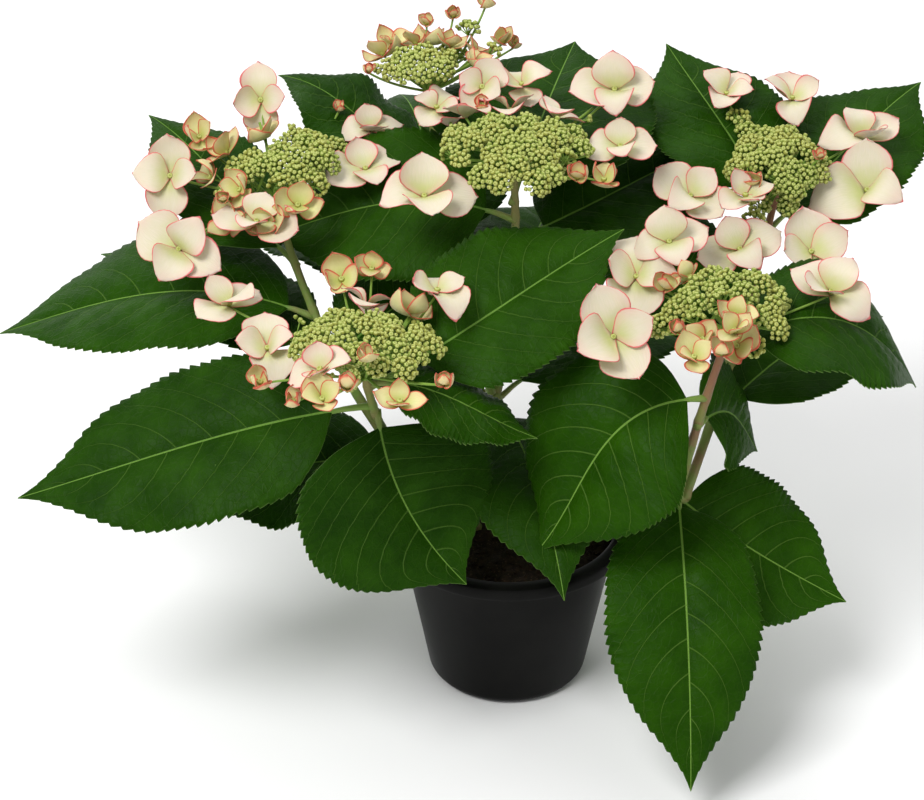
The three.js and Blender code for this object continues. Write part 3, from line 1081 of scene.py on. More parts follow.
@dataclass
class Leaf:
    """One large leaf: a petiole, and a toothed, quilted blade that arches along its midrib."""

    node: str
    seed: int
    shape: LeafShape = field(default_factory=LeafShape)
    petiole_radius: float = 1.5 * MM

    def frame_at(self, spine: Spine, share: Array) -> tuple[Array, Array, Array, Array]:
        """Reads how the leaf stands along its midrib.

        Args:
            spine: the leaf's midrib, width and roll.
            share: shares of the midrib's length.

        Returns:
            At each share its centre and its heading, sideways and upward directions.
        """
        heading = spine.towards(share)
        chord = spine.line[-1] - spine.line[0]
        level = np.broadcast_to(unit(np.array([chord[1], -chord[0], 0.0])), heading.shape)
        level = unit(level - np.einsum("ij,ij->i", level, heading)[:, None] * heading)
        sideways = turned(level, heading, spine.roll)
        return spine.at(share), heading, sideways, np.cross(sideways, heading)

    def blade(self, spine: Spine, basket: Basket) -> None:
        """Adds the blade: an upper and an under face, joined along the toothed margin.

        Args:
            spine: the leaf's midrib, width and roll.
            basket: where the mesh goes.
        """
        shape, dice = self.shape, np.random.default_rng(self.seed)
        steps, offsets = np.array(shape.tooth).T
        along = np.concatenate([(k + steps) / shape.teeth for k in range(shape.teeth)] + [[1.0]])
        tooth = np.concatenate([np.tile(offsets, shape.teeth), [0.0]])
        tooth *= smooth(0.05, 0.16, along) * (1 - smooth(0.9, 0.985, along))
        column = np.array(shape.columns)
        v = np.concatenate([-column[:0:-1], column])[None, :]
        u = along[:, None]
        length = float(np.linalg.norm(np.diff(spine.line, axis=0), axis=1).sum()) * (1 - spine.petiole)
        half = spine.half_width * np.maximum(through(shape.outline, along), 0.004)[:, None]
        lopsided = 1 + dice.uniform(-0.05, 0.05) * np.sign(v)
        reach = smooth(0.78, 1.0, abs(v))
        jag = tooth[:, None] * (1 + 0.25 * np.sin(dice.uniform(0, 6) + 17 * u)) * reach
        bite = shape.tooth_depth * jag * (0.35 + 0.65 * half / half.max())
        across = v * half * lopsided + np.sign(v) * bite
        forward = shape.tooth_lean * jag * length / shape.teeth
        centre, heading, sideways, upward = self.frame_at(spine, spine.petiole + (1 - spine.petiole) * along)
        relative = half / spine.half_width
        lift = abs(v) * half * math.tan(shape.fold) - shape.droop * v**2 * relative
        count = shape.veins.step(u, v)
        between = abs(count - np.round(count)) * 2
        pillow = shape.quilt * np.sqrt(np.clip(between, 0, 1)) * np.clip(1 - abs(v) ** 3, 0, 1)
        pillow *= np.minimum(1, abs(v) * 7) * smooth(0.0, 0.1, u) * relative
        waves = sum(dice.uniform(1.0, 1.9) * MM * np.sin(dice.uniform(3, 4.6) * rate * u
                                                         + dice.uniform(0, 6.3)
                                                         + (1.4 + dice.uniform(0, 1)) * (v > 0))
                    for rate in shape.wave_rates)
        lift = lift + pillow + waves * v**2 * relative
        top = (centre[:, None] + across[..., None] * sideways[:, None] + lift[..., None] * upward[:, None]
               + forward[..., None] * heading[:, None])
        ridge = shape.ridge * np.exp(-((v * half / shape.ridge_width) ** 2)) * (1.1 - u)
        rib = shape.rib * np.exp(-((between * 4) ** 2)) * (1 - abs(v))
        under = top - (shape.thickness + ridge + rib)[..., None] * upward[:, None]
        rows, columns = top.shape[:2]
        grid = np.stack([np.broadcast_to(u, (rows, columns)), np.broadcast_to(v, (rows, columns)),
                         np.broadcast_to(half / MM, (rows, columns))], axis=-1).reshape(-1, 3)
        rim = (1 - abs(v)) * half / MM
        tone = np.stack([np.full(rim.shape, dice.uniform(-0.2, 0.2)), rim,
                         np.full(rim.shape, length / MM)], axis=-1).reshape(-1, 3)
        map_x, map_y = 0.01 + 0.98 * grid[:, 0], 0.25 + 0.23 * grid[:, 1]
        uv = np.vstack([np.stack([map_x, map_y], axis=1), np.stack([map_x, map_y + 0.5], axis=1)])
        faces = skin_faces(rows, columns)
        sheet = (rows - 1) * (columns - 1)
        slots = [0] * sheet + [1] * (len(faces) - sheet)
        faces = [face[::-1] for face in faces]
        basket.add(np.vstack([top.reshape(-1, 3), under.reshape(-1, 3)]), faces, slots, uv,
                   blade=np.vstack([grid, grid]), tone=np.vstack([tone, tone]),
                   limb=np.zeros((2 * len(grid), 3)))

    def petiole(self, spine: Spine, basket: Basket) -> None:
        """Adds the leaf's stalk, from inside its limb to under the blade.

        Args:
            spine: the leaf's midrib, width and roll.
            basket: where the mesh goes.
        """
        share = np.linspace(0.0, spine.petiole + 0.02, 12)
        centre, heading, _, upward = self.frame_at(spine, share)
        drop = self.petiole_radius * 0.75 * smooth(0.5, 1.0, share / share[-1])
        centre = centre - upward * drop[:, None]
        line = np.vstack([centre[0] - heading[0] * 4 * MM, centre])
        radii = np.concatenate([[2.2 * MM], np.linspace(2.0 * MM, self.petiole_radius * 0.8, len(share))])
        points, faces, marks = tube(line, radii, 10)
        none = np.zeros((len(points), 3))
        uv = np.stack([0.002 + 0.006 * marks[:, 0], 0.002 + 0.99 * marks[:, 1]], axis=1)
        basket.add(points, faces, 2, uv, blade=none, tone=none, limb=marks)

    def build(self, spine: Spine, materials: Sequence[bpy.types.Material]) -> Piece:
        """Builds the leaf as one piece in place of its CAD blade.

        Args:
            spine: the leaf's midrib, width and roll.
            materials: upper face, underside and petiole.

        Returns:
            The leaf.
        """
        basket = Basket()
        self.blade(spine, basket)
        self.petiole(spine, basket)
        piece = basket.piece(self.node.replace("leaf_", "blade_"), materials, "leaf", unwrapped=True)
        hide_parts(self.node)
        return piece


# ---- flower heads ----


class Stage(Enum):
    """How far a floret has opened."""

    OPEN = "open"
    OPENING = "opening"
    CLOSED = "closed"


@dataclass(frozen=True)
class SepalCut:
    """The form of one sepal at one stage, sized by its length.

    Pairs are least and most, and raised and twist are in degrees.
    """

    width: float
    raised: tuple[float, float]
    arch: tuple[float, float]
    cup: tuple[float, float]
    twist: float
    outline: tuple[tuple[float, float], ...]


SEPAL_CUTS = {
    Stage.OPEN: SepalCut(
        width=1.06, raised=(-6, 46), arch=(-0.12, 0.34), cup=(0.2, 0.85), twist=26,
        outline=(
            (0.0, 0.12), (0.09, 0.36), (0.22, 0.72), (0.35, 0.94), (0.47, 1.0), (0.6, 0.97), (0.72, 0.86),
            (0.83, 0.68), (0.91, 0.46), (0.965, 0.24), (1.0, 0.03))),
    Stage.OPENING: SepalCut(
        width=0.98, raised=(14, 58), arch=(-0.4, 0.1), cup=(0.3, 0.9), twist=16,
        outline=(
            (0.0, 0.3), (0.1, 0.58), (0.24, 0.86), (0.4, 1.0), (0.55, 0.98), (0.69, 0.84), (0.81, 0.62),
            (0.9, 0.4), (0.96, 0.2), (1.0, 0.03))),
    Stage.CLOSED: SepalCut(
        width=0.95, raised=(40, 72), arch=(-0.5, -0.1), cup=(0.5, 1.1), twist=10,
        outline=(
            (0.0, 0.34), (0.1, 0.62), (0.26, 0.9), (0.42, 1.0), (0.58, 0.98), (0.72, 0.84), (0.84, 0.62),
            (0.93, 0.36), (0.98, 0.16), (1.0, 0.03))),
}

# A floret's spread tells its stage, and the inner sepals are shorter and stand in front of the outer
# ones. The space that its sepals take up reaches so far below and above its centre, and that share of
# its spread around it.
CLOSED_BELOW = 23 * MM
OPEN_FROM = 33 * MM
SEPAL_THICKNESS = 0.3 * MM
INNER_STEP = 1.2 * MM
INNER_LENGTH = 0.84
SPACE_BELOW = 2.5 * MM
SPACE_ABOVE = 12 * MM
SPACE_AROUND = 0.52


@dataclass
class Floret:
    """A large sterile floret: overlapping sepals round a closed button, on a slender stalk."""

    centre: Array
    facing: Array
    spread: float

    def stage(self) -> Stage:
        """Tells from its size how far the floret has opened.

        Returns:
            The floret's stage.
        """
        if self.spread < CLOSED_BELOW:
            return Stage.CLOSED
        return Stage.OPENING if self.spread < OPEN_FROM else Stage.OPEN

    def sepal(self, basket: Basket, cell: tuple[float, float, float], angle: float, length: float,
              inner: int, dice: np.random.Generator) -> None:
        """Adds one sepal.

        Args:
            basket: where the mesh goes.
            cell: the corner and side of its square in the unwrapped picture.
            angle: its direction round the floret.
            length: its length from the floret's centre.
            inner: 1 for a sepal of the inner pair, which stands in front and more upright, else 0.
            dice: the seeded source of its small differences.
        """
        cut = SEPAL_CUTS[self.stage()]
        t = np.concatenate([np.linspace(0, 0.9, 9), [0.955, 1.0]])[:, None]
        s = np.array([-1, -0.94, -0.8, -0.56, -0.28, 0, 0.28, 0.56, 0.8, 0.94, 1.0])[None, :]
        wide = cut.width * dice.uniform(0.86, 1.08)
        least, most = cut.raised
        raised = math.radians(least + (most - least) * 0.5 * (inner + dice.random()))
        arch, cup = dice.uniform(*cut.arch), dice.uniform(*cut.cup)
        twist = math.radians(dice.uniform(-cut.twist, cut.twist)) * t
        half = 0.5 * wide * length * np.maximum(through(cut.outline, t[:, 0]), 0.02)[:, None]
        x = s * half * (1 + dice.uniform(-0.05, 0.05) * s)
        y = length * (t - 0.05 * s * s * smooth(0.4, 1.0, t)) + 0 * s
        ruffle = sum(dice.uniform(0.010, 0.022) * np.sin(rate * t * math.pi + dice.uniform(0, 6.3)
                                                         + 1.7 * np.sign(s))
                     for rate in (1.6, 3.1)) * s * s
        bow = arch * (0.6 * np.sin(math.pi * t * 0.9) - 0.9 * t**3)
        z = length * (bow + cup * (x / length) ** 2 + ruffle)
        x, z = x * np.cos(twist) - z * np.sin(twist), x * np.sin(twist) + z * np.cos(twist)
        out = y * math.cos(raised) - z * math.sin(raised)
        rise = y * math.sin(raised) + z * math.cos(raised) + inner * INNER_STEP - SEPAL_THICKNESS
        helper = [0.0, 0.0, 1.0] if abs(self.facing[2]) < 0.95 else [0.0, 1.0, 0.0]
        side = unit(np.cross(self.facing, helper))
        other = np.cross(self.facing, side)
        radial = math.cos(angle) * side + math.sin(angle) * other
        tangent = np.cross(self.facing, radial)
        top = self.centre + out[..., None] * radial + x[..., None] * tangent + rise[..., None] * self.facing
        normal = unit(np.cross(np.gradient(top, axis=1), np.gradient(top, axis=0)))
        front = self.facing * 0.6 - radial * math.sin(raised)
        normal *= np.sign(np.einsum("ijk,k->ij", normal, front))[..., None]
        under = top - SEPAL_THICKNESS * normal
        rows, columns = top.shape[:2]
        edge = np.minimum((1 - abs(s)) * half, (1 - t) * length * 0.9 + 0 * s) / MM
        share = np.broadcast_to(t, edge.shape)
        marks = np.stack([share, np.broadcast_to(s, edge.shape), edge], axis=-1).reshape(-1, 3)
        corner_x, corner_y, size = cell
        uv = np.stack([corner_x + size * (0.5 + 0.46 * x / (0.6 * length)),
                       corner_y + size * (0.04 + 0.92 * share)], axis=-1).reshape(-1, 2)
        tone = np.full((len(marks) * 2, 3), dice.uniform(0, 9))
        faces = skin_faces(rows, columns)
        if np.einsum("k,k", np.cross(top[4, 6] - top[4, 5], top[5, 5] - top[4, 5]), normal[4, 5]) < 0:
            faces = [face[::-1] for face in faces]
        slot = 0 if self.stage() is Stage.OPEN else 1
        basket.add(np.vstack([top.reshape(-1, 3), under.reshape(-1, 3)]), faces, slot, np.vstack([uv, uv]),
                   sepal=np.vstack([marks, marks]), tone=tone)

    def holds(self, point: Array) -> bool:
        """Tells whether a point lies in the space that the floret's sepals take up.

        Args:
            point: the point.

        Returns:
            Whether it does.
        """
        away = point - self.centre
        height = float(away @ self.facing)
        reach = float(np.linalg.norm(away - height * self.facing))
        return -SPACE_BELOW < height < SPACE_ABOVE and reach < SPACE_AROUND * self.spread

    def build(self, basket: Basket, cells: list[tuple[float, float, float]],
              dice: np.random.Generator) -> None:
        """Adds the floret's sepals, two behind and two in front.

        Args:
            basket: where the mesh goes.
            cells: squares of the unwrapped picture that are still free.
            dice: the seeded source of its small differences.
        """
        count = 3 if dice.random() < 0.1 else 4
        start = dice.uniform(0, 2 * math.pi)
        for index in range(count):
            angle = start + 2 * math.pi * index / count + dice.uniform(-0.14, 0.14)
            inner = index % 2
            length = 0.5 * self.spread * dice.uniform(0.98, 1.18) * (INNER_LENGTH if inner else 1.0)
            self.sepal(basket, cells.pop(), angle, length, inner, dice)


# The number of the bud tips' material among a head's four bud materials.
BUD_TIP = 3

# Unopened florets that are too small for plates of their own: how far each stands from the crown
# sideways, towards the back and up, its spread in millimetres, and its tilt to the front.
UNOPENED = {
    "head_back": ((-34, -18, 20, 12, 14), (14, 20, 38, 14, 18), (50, 28, 16, 14, 20)),
    "head_left": ((35, 60, 28, 12, 16), (-26, -30, 14, 14, 24)),
    "head_centre": ((34, -24, 8, 20, 18), (-18, 30, 26, 14, 20)),
    "head_right_back": ((20, -14, 24, 12, 16),),
    "head_right": ((-30, -16, 10, 16, 20),),
    "head_front": ((3, -32, 28, 20, 12), (-54, -14, 4, 20, 30), (-7, -43, 18, 19, 10), (42, -32, 14, 17, 16),
                   (2, 70, 26, 24, 30), (-36, -34, 4, 18, 24)),
}


@dataclass
class Inflorescence:
    """A flat flower head: branching rays that carry knots of small buds, and large florets round them."""

    node: str
    crown: Array
    seed: int
    knot_gap: float = 12.5 * MM
    knot_radius: float = 8 * MM
    knot_spread: float = math.radians(76)
    gather: float = 0.88
    lobes: int = 6
    lobe_depth: float = 1.5 * MM
    bud_radius: float = 1.5 * MM
    bud_levels: tuple[tuple[float, float], ...] = ((-0.6, 0.6), (0.05, 1.0), (0.66, 0.78), (0.86, 0.4))
    bud_sides: int = 6
    button_radius: float = 1.9 * MM
    plate_triangles: int = 5
    plate_area: float = 70 * MM * MM
    plate_rise: float = 0.3
    plate_spread: float = 11 * MM
    plate_depth: float = 2.5 * MM
    plate_share: float = 0.55
    dome_area: float = 8 * MM * MM
    dome_rise: float = 0.5
    tries: int = 4000
    knot_lift: float = 1.5 * MM
    knot_lean: float = 0.45
    bud_fill: float = 0.8
    crease_width: float = 0.42

    def florets(self) -> list[Floret]:
        """Reads the florets from the flat plates of the head's node.

        Returns:
            The head's florets, facing away from its crown.
        """
        solid = Solid.of(self.node)
        found = []
        for normal, members in solid.plates(self.plate_triangles, self.plate_area):
            corners = solid.points[np.unique(solid.triangles[members])]
            centre = (corners.min(axis=0) + corners.max(axis=0)) / 2
            spread = 2 * np.linalg.norm(corners - centre, axis=1).max()
            if normal[2] > self.plate_rise and spread > self.plate_spread:
                found.append(Floret(centre - normal * MM, normal, float(spread)))
        for right, back, up, spread, tilt in UNOPENED[self.node]:
            lean = math.radians(tilt)
            centre = self.crown + np.array([right, back, up]) * MM
            found.append(Floret(centre, np.array([0.0, -math.sin(lean), math.cos(lean)]), spread * MM))
        return found

    def knots(self, florets: Sequence[Floret], dice: np.random.Generator) -> list[tuple[Array, Array]]:
        """Spreads the bud knots over the upper face of the head's dome.

        Args:
            florets: the head's florets, whose plates the knots keep off.
            dice: the seeded source of their places.

        Returns:
            Each knot's centre on the dome and the dome's normal there.
        """
        solid = Solid.of(self.node)
        normals, areas, centres = solid.normals()
        free = (normals[:, 2] > self.dome_rise) & (areas > self.dome_area)
        for floret in florets:
            away = centres - floret.centre
            clear = abs(away @ floret.facing) > self.plate_depth
            free &= clear | (np.linalg.norm(away, axis=1) > self.plate_share * floret.spread)
        keep = np.flatnonzero(free)
        chosen: list[tuple[Array, Array]] = []
        picks = dice.choice(keep, self.tries, p=areas[keep] / areas[keep].sum())
        for pick in picks:
            weights = dice.dirichlet((1.0, 1.0, 1.0))
            point = weights @ solid.points[solid.triangles[pick]]
            if all(np.linalg.norm(point - other) > self.knot_gap for other, _ in chosen):
                chosen.append((point, normals[pick]))
        middle = np.mean([point for point, _ in chosen], axis=0)
        reach = max(np.linalg.norm(point - middle) for point, _ in chosen)
        return [(middle + self.gather * (point - middle) + self.knot_lift * UP,
                 unit(normal + self.knot_lean * (point - middle) / reach)) for point, normal in chosen]

    def bud(self, basket: Basket, centre: Array, axis: Array, radius: float, slot: int) -> None:
        """Adds one small round bud with a pale tip.

        Args:
            basket: where the mesh goes.
            centre: the bud's middle.
            axis: the direction its tip points in.
            radius: its radius.
            slot: its body's material slot.
        """
        sides = self.bud_sides
        helper = unit(np.cross(axis, [0.3, 0.8, 0.5]))
        other = np.cross(axis, helper)
        turns = np.linspace(0, 2 * math.pi, sides, endpoint=False) + centre[0] * 5000
        ring = np.outer(np.cos(turns), helper) + np.outer(np.sin(turns), other)
        rings = [centre + radius * (height * axis + wide * ring) for height, wide in self.bud_levels]
        points = np.vstack([*rings, centre - radius * 1.05 * axis, centre + radius * 0.62 * axis])
        faces = []
        slots = []
        last = len(rings) - 1
        for row in range(last):
            for side in range(sides):
                a, b = row * sides + side, row * sides + (side + 1) % sides
                faces.append([a, b, b + sides, a + sides])
                slots.append(BUD_TIP if row == last - 1 else slot)
        foot, tip = len(points) - 2, len(points) - 1
        for side in range(sides):
            after = (side + 1) % sides
            faces.append([foot, after, side])
            faces.append([tip, last * sides + side, last * sides + after])
            slots += [slot, slot]
        basket.add(points, faces, slots)

    def build(self, palette: dict[str, bpy.types.Material]) -> list[Piece]:
        """Builds the head's sepals, buds and rays in place of its CAD solid.

        Args:
            palette: the finished materials by name.

        Returns:
            The head's pieces.
        """
        dice = np.random.default_rng(self.seed)
        florets = self.florets()
        knots = self.knots(florets, dice)
        buds, rays, sepals = Basket(), Basket(), Basket()
        groups: dict[int, list[int]] = {}
        for index, (point, _) in enumerate(knots):
            away = point - self.crown
            turn = (math.atan2(away[1], away[0]) + math.pi) / (2 * math.pi)
            groups.setdefault(int(turn * 5.999), []).append(index)
        for members in groups.values():
            mean = np.mean([knots[index][0] for index in members], axis=0)
            fork = self.crown + 0.42 * (mean - self.crown)
            bend = self.crown + 0.25 * (mean - self.crown) + 3 * MM * UP
            self.ray(rays, [self.crown - 1.5 * MM * UP, bend, fork], 1.6 * MM, 1.1 * MM)
            for index in members:
                self.knot(buds, rays, fork, *knots[index], florets, dice)
        for floret in florets:
            away = floret.centre - self.crown
            bend = self.crown + np.array([0.62 * away[0], 0.62 * away[1], 0.2 * away[2] + 4 * MM])
            foot = floret.centre - 0.6 * MM * floret.facing
            self.ray(rays, [self.crown, bend, foot], 0.9 * MM, 0.65 * MM, 10)
            button = floret.centre + 1.3 * MM * floret.facing
            self.bud(buds, button, floret.facing, self.button_radius, 2)
        side = math.ceil(math.sqrt(4 * len(florets)))
        cells = [(column / side, row / side, 1 / side) for row in range(side) for column in range(side)]
        cells.reverse()
        for floret in florets:
            floret.build(sepals, cells, dice)
        place = self.node.replace("head_", "")
        petals = [palette["sepal"], palette["young_sepal"]]
        bud_tones = [palette[f"bud_{index}"] for index in range(BUD_TIP + 1)]
        pieces = [
            sepals.piece(f"florets_{place}", petals, "blossom", unwrapped=True),
            buds.piece(f"buds_{place}", bud_tones, "blossom"),
            rays.piece(f"rays_{place}", [palette["ray"]], "green_shoot"),
        ]
        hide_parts(self.node)
        log.info("%s: %d florets, %d knots", self.node, len(florets), len(knots))
        return pieces

    def knot(self, buds: Basket, rays: Basket, fork: Array, point: Array, normal: Array,
             florets: Sequence[Floret], dice: np.random.Generator) -> None:
        """Adds one knot of buds on its ray.

        Args:
            buds: where the buds go.
            rays: where the ray and the bud stalks go.
            fork: where the knot's ray leaves the main ray.
            point: the knot's place on the dome.
            normal: the direction it faces.
            florets: the head's florets, which no bud grows through.
            dice: the seeded source of its small differences.
        """
        radius = self.knot_radius * dice.uniform(0.86, 1.12)
        hub = point - normal * (radius - self.knot_lift)
        self.ray(rays, [fork, fork + 0.5 * (hub - fork) - 1.5 * MM * UP, hub], 0.95 * MM, 0.8 * MM, 5)
        helper = unit(np.cross(normal, [0.2, 0.9, 0.4]))
        other = np.cross(normal, helper)
        cap = 1 - math.cos(self.knot_spread)
        count = int(self.bud_fill * 2 * cap * (radius / self.bud_radius) ** 2)
        turns = dice.uniform(0, 6.3) + np.arange(self.lobes) * 2 * math.pi / self.lobes
        lobes = unit(np.outer(np.cos(turns), helper) + np.outer(np.sin(turns), other) + 0.85 * normal)
        lobes = np.vstack([lobes, unit(normal + 0.1 * helper)])
        slot = int(dice.integers(0, 3))
        for index in range(count):
            level = 1 - (index + 0.5) / count * cap
            turn = index * GOLDEN_TURN
            slope = math.sqrt(max(0.0, 1 - level * level))
            aim = level * normal + slope * (math.cos(turn) * helper + math.sin(turn) * other)
            aim = unit(aim + dice.normal(0, 0.025, 3))
            crease = float(np.min(np.arccos(np.clip(lobes @ aim, -1, 1))))
            hollow = self.lobe_depth * min(1.0, crease / self.crease_width) ** 2
            reach = radius - hollow + dice.uniform(-0.3, 0.3) * MM
            tone = slot if dice.random() < 0.6 else int(dice.integers(0, 3))
            size = self.bud_radius * dice.uniform(0.85, 1.08)
            if any(floret.holds(hub + aim * reach) for floret in florets):
                continue
            self.bud(buds, hub + aim * reach, aim, size, tone)
            if index % 2 == 0:
                points, faces, _ = tube(np.array([hub, hub + aim * (reach - self.bud_radius)]), 0.4 * MM, 3)
                rays.add(points, faces)

    def ray(self, rays: Basket, corners: list[Array], start: float, end: float, steps: int = 6) -> None:
        """Adds one tapering ray along a curve.

        Args:
            rays: where the mesh goes.
            corners: the curve's corner points.
            start: its radius at the first corner.
            end: its radius at the last corner.
            steps: how many spans it is drawn with.
        """
        line = bezier(corners, steps)
        points, faces, _ = tube(line, np.linspace(start, end, len(line)), 6)
        rays.add(points, faces)


# ---- limbs ----


class Bark(Enum):
    """The kinds of bark, as the names of their finishes."""

    STEM = "stem"
    SHOOT = "shoot"
    FLUSHED = "flushed_shoot"

    @classmethod
    def of(cls, node: str) -> "Bark":
        """Tells a limb's bark from its name: the shoots of the right-hand side are flushed.

        Args:
            node: the stem's or shoot's node.

        Returns:
            The limb's bark.
        """
        if node.startswith("stem_"):
            return cls.STEM
        return cls.FLUSHED if "right" in node else cls.SHOOT


@dataclass
class Limb:
    """A stem or shoot: a tapering tube, swollen where leaves join it."""

    node: str
    seed: int
    sides: int = 14
    rings: int = 70
    swelling: float = 0.18
    swelling_reach: float = 2.8 * MM
    joint_reach: float = 9 * MM

    def build(self, spine: Spine, joints: Sequence[Array], material: bpy.types.Material, slot: str) -> Piece:
        """Builds the limb with its bark relief in place of its CAD solid.

        Args:
            spine: the limb's centre line and radii.
            joints: where leaves join it.
            material: its bark.
            slot: the name of a material slot, handed on to the piece.

        Returns:
            The limb.
        """
        dice = np.random.default_rng(self.seed)
        line = evenly(spine.line, self.rings)
        share = np.linspace(0, 1, self.rings)
        radii = np.interp(share, np.linspace(0, 1, len(spine.radii)), spine.radii)
        for joint in joints:
            gap = np.linalg.norm(line - joint, axis=1)
            if gap.min() < self.joint_reach:
                away = np.linalg.norm(line - line[np.argmin(gap)], axis=1)
                radii = radii * (1 + self.swelling * np.exp(-((away / self.swelling_reach) ** 2)))
        radii = radii * (1 + 0.03 * np.sin(share * 40 + self.seed))
        points, faces, marks = tube(line, radii, self.sides)
        middle = np.vstack([np.repeat(line, self.sides, axis=0), line[0], line[-1]])
        around = np.tile(np.arange(self.sides), self.rings) * (2 * math.pi / self.sides)
        furrow = 1 + 0.05 * np.sin(around * 5 + np.repeat(share, self.sides) * 3)
        furrow = np.concatenate([furrow + dice.uniform(-0.02, 0.02, len(furrow)), [1.0, 1.0]])
        basket = Basket()
        basket.add(middle + (points - middle) * furrow[:, None], faces, limb=marks)
        piece = basket.piece(self.node.replace("stem_", "stem_bark_").replace("shoot_", "shoot_bark_"),
                             [material], slot)
        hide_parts(self.node)
        return piece


@dataclass
class CutStub:
    """The short upright stub of a shoot that was cut off the lying stem."""

    share: float = 0.34
    radius: float = 3.1 * MM
    height: float = 13 * MM
    lean: tuple[float, float, float] = (-0.25, -0.2, 1.0)
    swell: tuple[float, ...] = (1.5, 1.2, 1.05, 1.0, 1.0, 1.02, 1.05, 0.95)
    sides: int = 14

    def build(self, stem: Spine, bark: bpy.types.Material, wood: bpy.types.Material) -> Piece:
        """Builds the stub with its brown cut face.

        Args:
            stem: the stem that it stands on.
            bark: the stem's bark.
            wood: the cut face.

        Returns:
            The stub.
        """
        foot = stem.at(np.array([self.share]))[0]
        axis = unit(np.array(self.lean))
        line = foot + np.linspace(0, self.height, len(self.swell))[:, None] * axis
        points, faces, marks = tube(line, self.radius * np.array(self.swell), self.sides)
        crown = len(points) - 1
        slots = [int(crown in face) for face in faces]
        basket = Basket()
        basket.add(points, faces, slots, limb=marks)
        return basket.piece("cut_stub", [bark, wood], "woody_stem")


# ---- pot and compost ----


@dataclass
class Pot:
    """The round nursery pot: a tapering wall with a rolled lip, and notches round its foot."""

    wall: float = 1.6 * MM
    lip_height: float = 8 * MM
    neck_inset: float = 9 * MM
    foot_inset: float = 25 * MM
    foot_round: float = 7 * MM
    floor: float = 4 * MM
    steps: int = 96
    notches: int = 6
    notch_width: float = 20 * MM
    notch_height: float = 2.6 * MM
    notch_inner: float = 30 * MM
    notch_outer: float = 60 * MM
    first_notch: float = math.radians(-68)

    def profile(self) -> list[tuple[float, float]]:
        """Draws the wall's section from the middle of its underside, over the lip, to the floor inside.

        Returns:
            The section's corners, each a distance from the axis and a height.
        """
        low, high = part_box("pot")
        lip, top = (high.x - low.x) / 2, high.z
        neck, foot = lip - self.neck_inset, lip - self.foot_inset
        under_lip = top - self.lip_height
        line = [(0.0, 0.0), (foot - self.foot_round, 0.0)]
        line += [(foot - self.foot_round * (1 - math.sin(a)), self.foot_round * (1 - math.cos(a)))
                 for a in np.radians(np.arange(12, 91, 12))]
        line += [(foot + (neck - foot) * t, self.foot_round + (under_lip - self.foot_round) * t)
                 for t in (0.25, 0.5, 0.75, 0.97, 1.0)]
        line += [(lip - 2.2 * MM, under_lip), (lip - 0.5 * MM, under_lip + 0.5 * MM),
                 (lip, under_lip + 1.8 * MM)]
        line += [(lip, top - 1.8 * MM), (lip - 0.6 * MM, top - 0.5 * MM), (lip - 2 * MM, top)]
        line += [(neck + 1.0 * MM, top), (neck - 0.4 * MM, top - 0.7 * MM), (neck - self.wall, under_lip)]
        line += [(foot - self.wall, self.foot_round + self.floor), (foot - 4 * MM, self.floor),
                 (0.0, self.floor)]
        return line

    def build(self, finish: bpy.types.Material) -> Piece:
        """Spins the wall, cuts the foot notches and rounds the edges.

        Args:
            finish: the pot's plastic.

        Returns:
            The pot.
        """
        line = self.profile()
        mesh = bpy.data.meshes.new("nursery_pot")
        mesh.from_pydata([(r, 0.0, z) for r, z in line], [(k, k + 1) for k in range(len(line) - 1)], [])
        pot = bpy.data.objects.new("nursery_pot", mesh)
        bpy.context.scene.collection.objects.link(pot)
        only(pot)
        bpy.ops.object.mode_set(mode="EDIT")
        bpy.ops.mesh.select_all(action="SELECT")
        bpy.ops.mesh.spin(steps=self.steps, angle=2 * math.pi, center=(0, 0, 0), axis=(0, 0, 1))
        bpy.ops.mesh.select_all(action="SELECT")
        bpy.ops.mesh.remove_doubles(threshold=0.02 * MM)
        bpy.ops.mesh.normals_make_consistent(inside=False)
        bpy.ops.object.mode_set(mode="OBJECT")
        for index in range(self.notches):
            self.cut_notch(pot, self.first_notch + 2 * math.pi * index / self.notches)
        only(pot)
        bpy.ops.object.shade_smooth_by_angle(angle=math.radians(32))
        pot.data.materials.clear()
        pot.data.materials.append(finish)
        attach(pot, "root")
        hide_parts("pot")
        return pot

    def cut_notch(self, pot: Piece, angle: float) -> None:
        """Cuts one drainage notch across the foot.

        Args:
            pot: the spun wall.
            angle: the notch's direction round the foot.
        """
        reach = self.notch_outer - self.notch_inner
        middle = self.notch_inner + reach / 2
        bpy.ops.mesh.primitive_cube_add(
            size=1, location=(middle * math.cos(angle), middle * math.sin(angle), 0), rotation=(0, 0, angle),
            scale=(reach, self.notch_width, 2 * self.notch_height))
        cutter = bpy.context.object
        bpy.ops.object.transform_apply(location=True, rotation=True, scale=True)
        only(pot)
        cut = pot.modifiers.new("notch", "BOOLEAN")
        cut.operation = "DIFFERENCE"
        cut.solver = "EXACT"
        cut.object = cutter
        bpy.ops.object.modifier_apply(modifier=cut.name)
        bpy.data.objects.remove(cutter)


